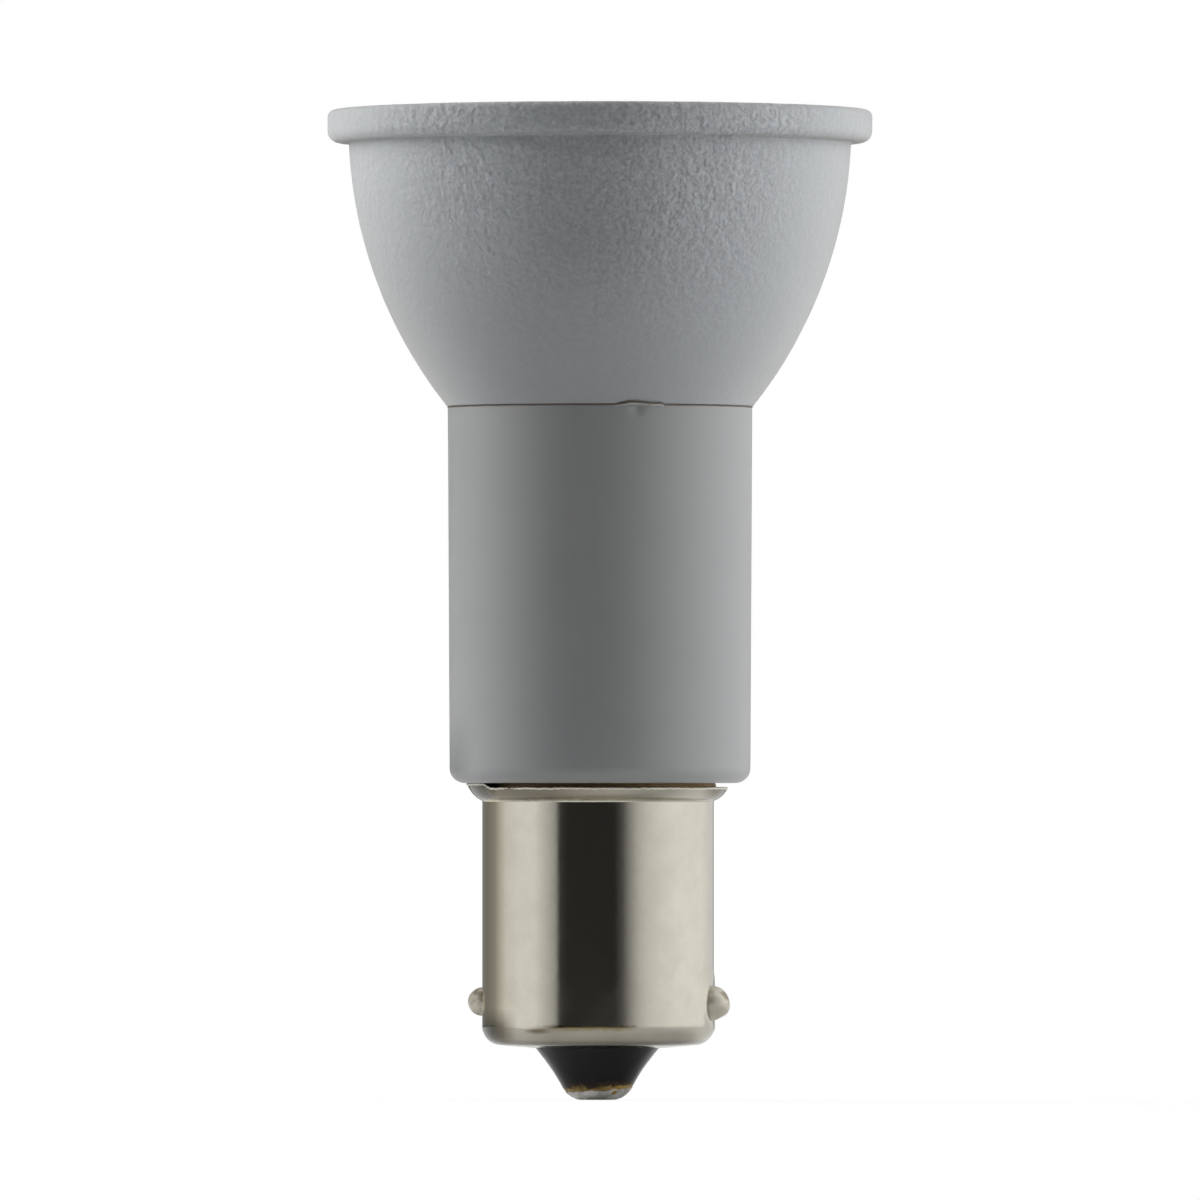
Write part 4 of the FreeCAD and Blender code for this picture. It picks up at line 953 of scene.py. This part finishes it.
class REFLECTOR_OT_contact(Operator):
    """Press the glass and run the solder over the centre contact"""
    bl_idname = "reflector.contact"
    bl_label = "Glass and contact"

    def execute(self, context):
        contact = context.scene.reflector_contact
        solder_outline, glass_outline = contact_outlines(contact)
        pit = spot_at(contact.pit_turn, contact.pit_radius, contact.pit_height)
        pit_width, edge_width = 0.16 * MM, 0.1 * MM

        def solder_edge(angle):
            """The height of the solder's edge round the glass: a slope with long and short waves on it."""
            front = from_front(angle)
            wave = 0.6 * math.sin(5 * front + 0.9) + 0.4 * math.sin(13 * front + 2.0)
            slope = contact.edge_slope * contact.glass_foot_radius * math.sin(front)
            return contact.edge + slope + contact.edge_wave * wave

        def frozen(angle, spot, out):
            """Crawl the solder's skin, sink it behind its edge and press the pit into it."""
            place = around(angle, spot)
            over = (spot.y - solder_edge(angle)) / edge_width
            stand = contact.skin if over < 0 else contact.skin * (1 - 3 * min(over, 1.0))
            crawl = 0.5 * contact.skin * noise.noise(place / (0.7 * MM))
            hollow = contact.pit_depth * hump((place - pit).length, pit_width)
            moved = spot + out * (stand + crawl - hollow)
            return Vector((moved.x, max(moved.y, 0.0)))

        aside = Matrix.Translation((-contact.aside, 0, 0))
        solder = turned("solder_contact", solder_outline, sides=200, work=frozen, place=aside)
        fit(solder, tinned_solder(contact), "tin_solder", "contact_solder")

        def hot_pressed(angle, spot, out):
            """Ripple the glass below the shell."""
            if spot.y > CAP_BASE:
                return spot
            return spot + out * 0.02 * MM * noise.noise(around(angle, spot) / (1.2 * MM))

        glass = turned("pressed_glass", glass_outline, sides=160, work=hot_pressed, place=aside)
        fit(glass, pressed_glass(contact), "black_glass", "cap_insulator")

        # Turned brass: warm yellow with a fine grain, for lathe rings that are too fine to show.
        brass = grained("turned brass", "#C9A55A", 0.2, 0.002, 0.05, 0.28, Metallic=1.0)
        coat(brass, "contact_plate")
        return {"FINISHED"}


def lens_outline(front, bell):
    """The lens's section, from the dome over the LED round the hollow, side and flange to the crown."""
    foot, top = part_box("front_lens")[0].z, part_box("front_lens")[1].z
    face_edge = top - front.crown
    ledge = RIM_TOP - bell.seat_depth
    hollow_top = Vector((front.hollow_top_radius, foot + front.hollow_depth))
    dome = Vector((0, hollow_top.y - front.dome))
    dome_curve = (front.dome ** 2 + front.hollow_top_radius ** 2) / (2 * front.dome)
    crown_curve = (front.crown ** 2 + front.face_radius ** 2) / (2 * front.crown)
    outline = [dome] + arc(dome, hollow_top, dome_curve, steps=12)
    outline += [Vector((front.hollow_radius, foot)), Vector((front.foot_radius, foot))]
    outline += arc(outline[-1], (front.shoulder_radius, ledge), front.side_curve, steps=40)
    outline += [Vector((front.flange_radius, ledge)),
                Vector((front.flange_radius, ledge + front.flange_thickness)),
                Vector((front.face_radius, ledge + front.flange_thickness)),
                Vector((front.face_radius, face_edge))]
    return outline + arc(outline[-1], (0, top), crown_curve, steps=30)


class REFLECTOR_OT_front(Operator):
    """Finish the clear lens and the ring that holds it"""
    bl_idname = "reflector.front"
    bl_label = "Lens and ring"

    def execute(self, context):
        front = context.scene.reflector_front
        lens = turned("clear_lens", lens_outline(front, context.scene.reflector_bell), sides=256)
        fit(lens, moulded_acrylic(front.lens), "clear_acrylic", "front_lens")
        # Glass-filled polycarbonate: pale and matt, with a faint mottle from the fibres.
        coat(grained("glass-filled polycarbonate", "#CDCECF", 0.3, 0.004, 0.04, 0.5, IOR=1.58), "lens_ring")
        return {"FINISHED"}


class REFLECTOR_OT_light_source(Operator):
    """Finish the LED, its board, the pad under it and the screws"""
    bl_idname = "reflector.light_source"
    bl_label = "LED and board"

    def execute(self, context):
        # Fired alumina: bright, dry white with a very fine grain.
        coat(grained("fired alumina", "#ECECEA", 0.1, 0.001, 0.03, 0.55), "led_substrate")
        # Phosphor stirred into clear silicone: egg yellow, softly glossy, with settled specks.
        coat(grained("phosphor in silicone", "#ECCE50", 0.15, 0.004, 0.08, 0.3, IOR=1.41), "led_phosphor")
        # White solder mask, screen printed: smooth satin with a slight orange peel.
        coat(grained("white solder mask", "#E9E9E9", 0.5, 0.002, 0.02, 0.35), "led_board")
        # Filled silicone sheet: soft grey with a rubbery dullness.
        coat(grained("filled silicone sheet", "#AAAEB3", 0.3, 0.01, 0.06, 0.75, IOR=1.41), "thermal_pad")
        # Zinc-plated steel: cool bright metal, a little cloudy.
        coat(grained("zinc-plated steel", "#C4C4C4", 0.3, 0.002, 0.08, 0.3, Metallic=1.0), "board_screws")
        return {"FINISHED"}


class REFLECTOR_OT_driver(Operator):
    """Finish the driver board and the parts on it"""
    bl_idname = "reflector.driver"
    bl_label = "Driver board"

    def execute(self, context):
        # Glass-epoxy laminate under green mask: the cloth shows as a faint mottle of light and dark.
        coat(grained("green glass-epoxy laminate", "#306F4B", 0.6, 0.003, 0.12, 0.32), "driver_board")
        # Sintered ferrite: dark, dull and slightly pitted.
        coat(grained("sintered ferrite", "#3F3F41", 0.25, 0.01, 0.15, 0.7), "inductor_core")
        # Enamelled copper: shiny orange-brown wire under clear varnish.
        coat(grained("enamelled copper", "#DA9469", 0.18, 0.02, 0.1, 0.25, Metallic=1.0), "inductor_winding")
        # Drawn aluminium can: pale metal with a soft bloom.
        coat(grained("drawn aluminium", "#CBCBCD", 0.3, 0.003, 0.06, 0.35, Metallic=1.0), "capacitor")
        # Filled epoxy, moulded: near black with a fine matt sparkle.
        epoxy = grained("moulded epoxy", "#272729", 0.12, 0.004, 0.2, 0.5)
        coat(epoxy, "bridge_rectifier", "driver_chip", "rectifier_diode")
        # Fired chip ceramic: tan and eggshell smooth.
        coat(grained("chip ceramic", "#A08B73", 0.2, 0.002, 0.1, 0.45), "chip_parts")
        return {"FINISHED"}


class REFLECTOR_OT_wiring(Operator):
    """Finish the leads, the solder joint and the cement that holds the cap"""
    bl_idname = "reflector.wiring"
    bl_label = "Leads and cement"

    def execute(self, context):
        # Extruded PVC: soft satin colour with a slow ripple.
        coat(grained("red PVC insulation", "#B8231F", 0.8, 0.004, 0.06, 0.4), "led_lead_positive")
        coat(grained("white PVC insulation", "#E4E2DC", 0.8, 0.004, 0.04, 0.4), "centre_lead")
        black = grained("black PVC insulation", "#1C1C1E", 0.8, 0.004, 0.1, 0.4)
        coat(black, "side_lead", "led_lead_negative")
        # Hand-soldered tin: bright grey with a crawled skin.
        coat(grained("hand-soldered tin", "#C8C8C4", 0.5, 0.02, 0.1, 0.32, Metallic=1.0), "side_solder")
        # Baked lamp cement: chalky beige, rough and full of fine pores.
        coat(grained("baked lamp cement", "#CEC8B8", 0.25, 0.03, 0.12, 0.9), "cap_cement")
        return {"FINISHED"}


# The studio all round, in degrees from the camera's side towards the right: how bright it looks in
# a mirror, and the share of the soft boxes' strength with which it lights matt surfaces.
# It has a dark room behind the camera, bright walls at its sides and a soft box behind each side of
# the bulb.
STUDIO = (
    (-180, 0.25, 0.04),
    (-162, 0.22, 0.08),
    (-147, 0.20, 0.40),
    (-126, 0.30, 1.00),
    (-105, 0.78, 0.93),
    (-85, 0.90, 0.52),
    (-66, 0.88, 0.10),
    (-48, 0.51, 0.01),
    (-43, 0.40, 0.01),
    (-39, 0.05, 0.00),
    (-31, 0.025, 0.00),
    (17, 0.025, 0.00),
    (25, 0.10, 0.00),
    (41, 0.57, 0.14),
    (50, 0.72, 0.18),
    (65, 0.87, 0.22),
    (85, 1.00, 0.42),
    (105, 1.00, 0.52),
    (125, 0.98, 0.50),
    (150, 0.75, 0.12),
    (162, 0.68, 0.04),
    (170, 0.25, 0.04),
    (180, 0.25, 0.04),
)
# The same two for the ceiling.
CEILING = (0.8, 0.04)


def studio_world(studio):
    """The studio's light: white to the camera, and soft boxes round a dark room to the bulb."""
    world = bpy.data.worlds.new("white studio")
    world.use_nodes = True
    world.cycles.sampling_method = "NONE"
    tree = world.node_tree
    direction = add_node(tree, "TexCoord").outputs["Generated"]
    right, back, up = add_node(tree, "SeparateXYZ", direction).outputs
    forward = add_node(tree, "Math", back, -1.0, operation="MULTIPLY")
    heading = add_node(tree, "Math", right, forward, operation="ARCTAN2")
    walls = add_node(tree, "ValToRGB", mark(tree, (heading, -math.pi, math.pi, 0, 1)))
    stops = walls.color_ramp.elements
    stops[0].position, stops[1].position = 0, 1
    for degrees, mirror, lamp in STUDIO[1:-1]:
        stops.new((degrees + 180) / 360)
    for stop, (degrees, mirror, lamp) in zip(stops, STUDIO):
        stop.color = (mirror, lamp, 0, 1)
    all_round = stained(tree, walls, (mark(tree, (up, 0.75, 0.95, 0, 1)), CEILING + (0, 1)))
    room, lamps, _ = add_node(tree, "SeparateColor", all_round).outputs
    # The soft boxes stand level with the bulb, the left one a little higher; from below comes only
    # what the table throws back in front.
    over_edge = add_node(tree, "Math", right, 0.12, up, operation="MULTIPLY_ADD")
    strength = mark(tree, (over_edge, -0.3, 0.1, 0.03, 1),
                    (up, 0.3, 0.65, studio.lamp, 0.25 * studio.lamp))
    table = mark(tree, (up, -0.2, -0.5, 0, studio.table), (back, -0.1, -0.7, 0, 1))
    lit = add_node(tree, "Math", lamps, strength, table, operation="MULTIPLY_ADD")
    ray = add_node(tree, "LightPath").outputs
    mirrored = strongest(tree, ray["Is Glossy Ray"], ray["Is Transmission Ray"])
    on_bulb = add_node(tree, "Mix", mirrored, lit, room)
    background = tree.nodes["Background"].inputs
    feed(tree, background["Strength"], add_node(tree, "Mix", ray["Is Camera Ray"], on_bulb, 1.0))
    feed(tree, background["Color"], hex_colour("#FFFFFF"))
    return world


def floor_paper(studio):
    """White studio paper: matt, and mostly plain white to the camera so that only a soft shadow stays."""
    finish, tree, shader = new_finish("white studio paper", Base_Color=shade(studio.floor, 1.0),
                                      Roughness=0.9, IOR=1.0)
    white_share, brightness = 0.88, 1.05
    seen = add_node(tree, "LightPath").outputs["Is Camera Ray"]
    amount = add_node(tree, "Math", seen, white_share, operation="MULTIPLY")
    glow = add_node(tree, "Emission", hex_colour("#FFFFFF"), brightness)
    both = add_node(tree, "MixShader", amount, shader, glow)
    feed(tree, tree.nodes["Material Output"].inputs["Surface"], both)
    return finish


class REFLECTOR_OT_studio(Operator):
    """Set the floor, the studio's light and the camera"""
    bl_idname = "reflector.studio"
    bl_label = "Studio"

    def execute(self, context):
        studio = context.scene.reflector_studio
        disc = [Vector((studio.floor_radius, 0)), Vector((0, 0))]
        floor = turned("studio_floor", disc, sides=128, place=Matrix.Translation((0, studio.floor_back, 0)))
        floor.data.materials.append(floor_paper(studio))
        context.scene.world = studio_world(studio)

        camera_data = bpy.data.cameras.new("camera")
        camera_data.lens = camera_data.sensor_width * studio.camera_distance / studio.view_width
        camera = bpy.data.objects.new("camera", camera_data)
        context.scene.collection.objects.link(camera)
        camera.location = (0, -studio.camera_distance, studio.camera_height)
        aim = Vector((0, 0, studio.aim_height)) - camera.location
        camera.rotation_euler = aim.to_track_quat("-Z", "Y").to_euler()
        context.scene.camera = camera
        context.scene.view_settings.view_transform = "Standard"
        return {"FINISHED"}


# Each step's operator with the scene property that holds its sizes; three steps have none.
STEPS = (
    (REFLECTOR_OT_bell, "reflector_bell", BellSizes),
    (REFLECTOR_OT_sleeve, "reflector_sleeve", SleeveSizes),
    (REFLECTOR_OT_cap_shell, "reflector_shell", ShellSizes),
    (REFLECTOR_OT_pins, "reflector_pins", PinSizes),
    (REFLECTOR_OT_contact, "reflector_contact", ContactSizes),
    (REFLECTOR_OT_front, "reflector_front", FrontSizes),
    (REFLECTOR_OT_light_source, None, None),
    (REFLECTOR_OT_driver, None, None),
    (REFLECTOR_OT_wiring, None, None),
    (REFLECTOR_OT_studio, "reflector_studio", StudioSizes),
)


class REFLECTOR_PT_steps(Panel):
    """Lists the steps that dress the reflector bulb, each with its sizes and colours"""
    bl_idname = "REFLECTOR_PT_steps"
    bl_label = "Reflector bulb"
    bl_space_type = "VIEW_3D"
    bl_region_type = "UI"
    bl_category = "Reflector bulb"

    def draw(self, context):
        for operator, holder, sizes in STEPS:
            box = self.layout.box()
            box.operator(operator.bl_idname)
            if holder:
                for name in sizes.__annotations__:
                    box.prop(getattr(context.scene, holder), name)


def register():
    """Register the classes and hang the sizes on the scene."""
    for operator, holder, sizes in STEPS:
        bpy.utils.register_class(operator)
        if holder:
            bpy.utils.register_class(sizes)
            setattr(bpy.types.Scene, holder, PointerProperty(type=sizes))
    bpy.utils.register_class(REFLECTOR_PT_steps)


def unregister():
    """Take the classes and the sizes away again."""
    bpy.utils.unregister_class(REFLECTOR_PT_steps)
    for operator, holder, sizes in reversed(STEPS):
        if holder:
            delattr(bpy.types.Scene, holder)
            bpy.utils.unregister_class(sizes)
        bpy.utils.unregister_class(operator)


def main():
    """Register the add-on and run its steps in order."""
    register()
    bpy.ops.reflector.bell()
    bpy.ops.reflector.sleeve()
    bpy.ops.reflector.cap_shell()
    bpy.ops.reflector.pins()
    bpy.ops.reflector.contact()
    bpy.ops.reflector.front()
    bpy.ops.reflector.light_source()
    bpy.ops.reflector.driver()
    bpy.ops.reflector.wiring()
    bpy.ops.reflector.studio()


if __name__ == "__main__":
    main()
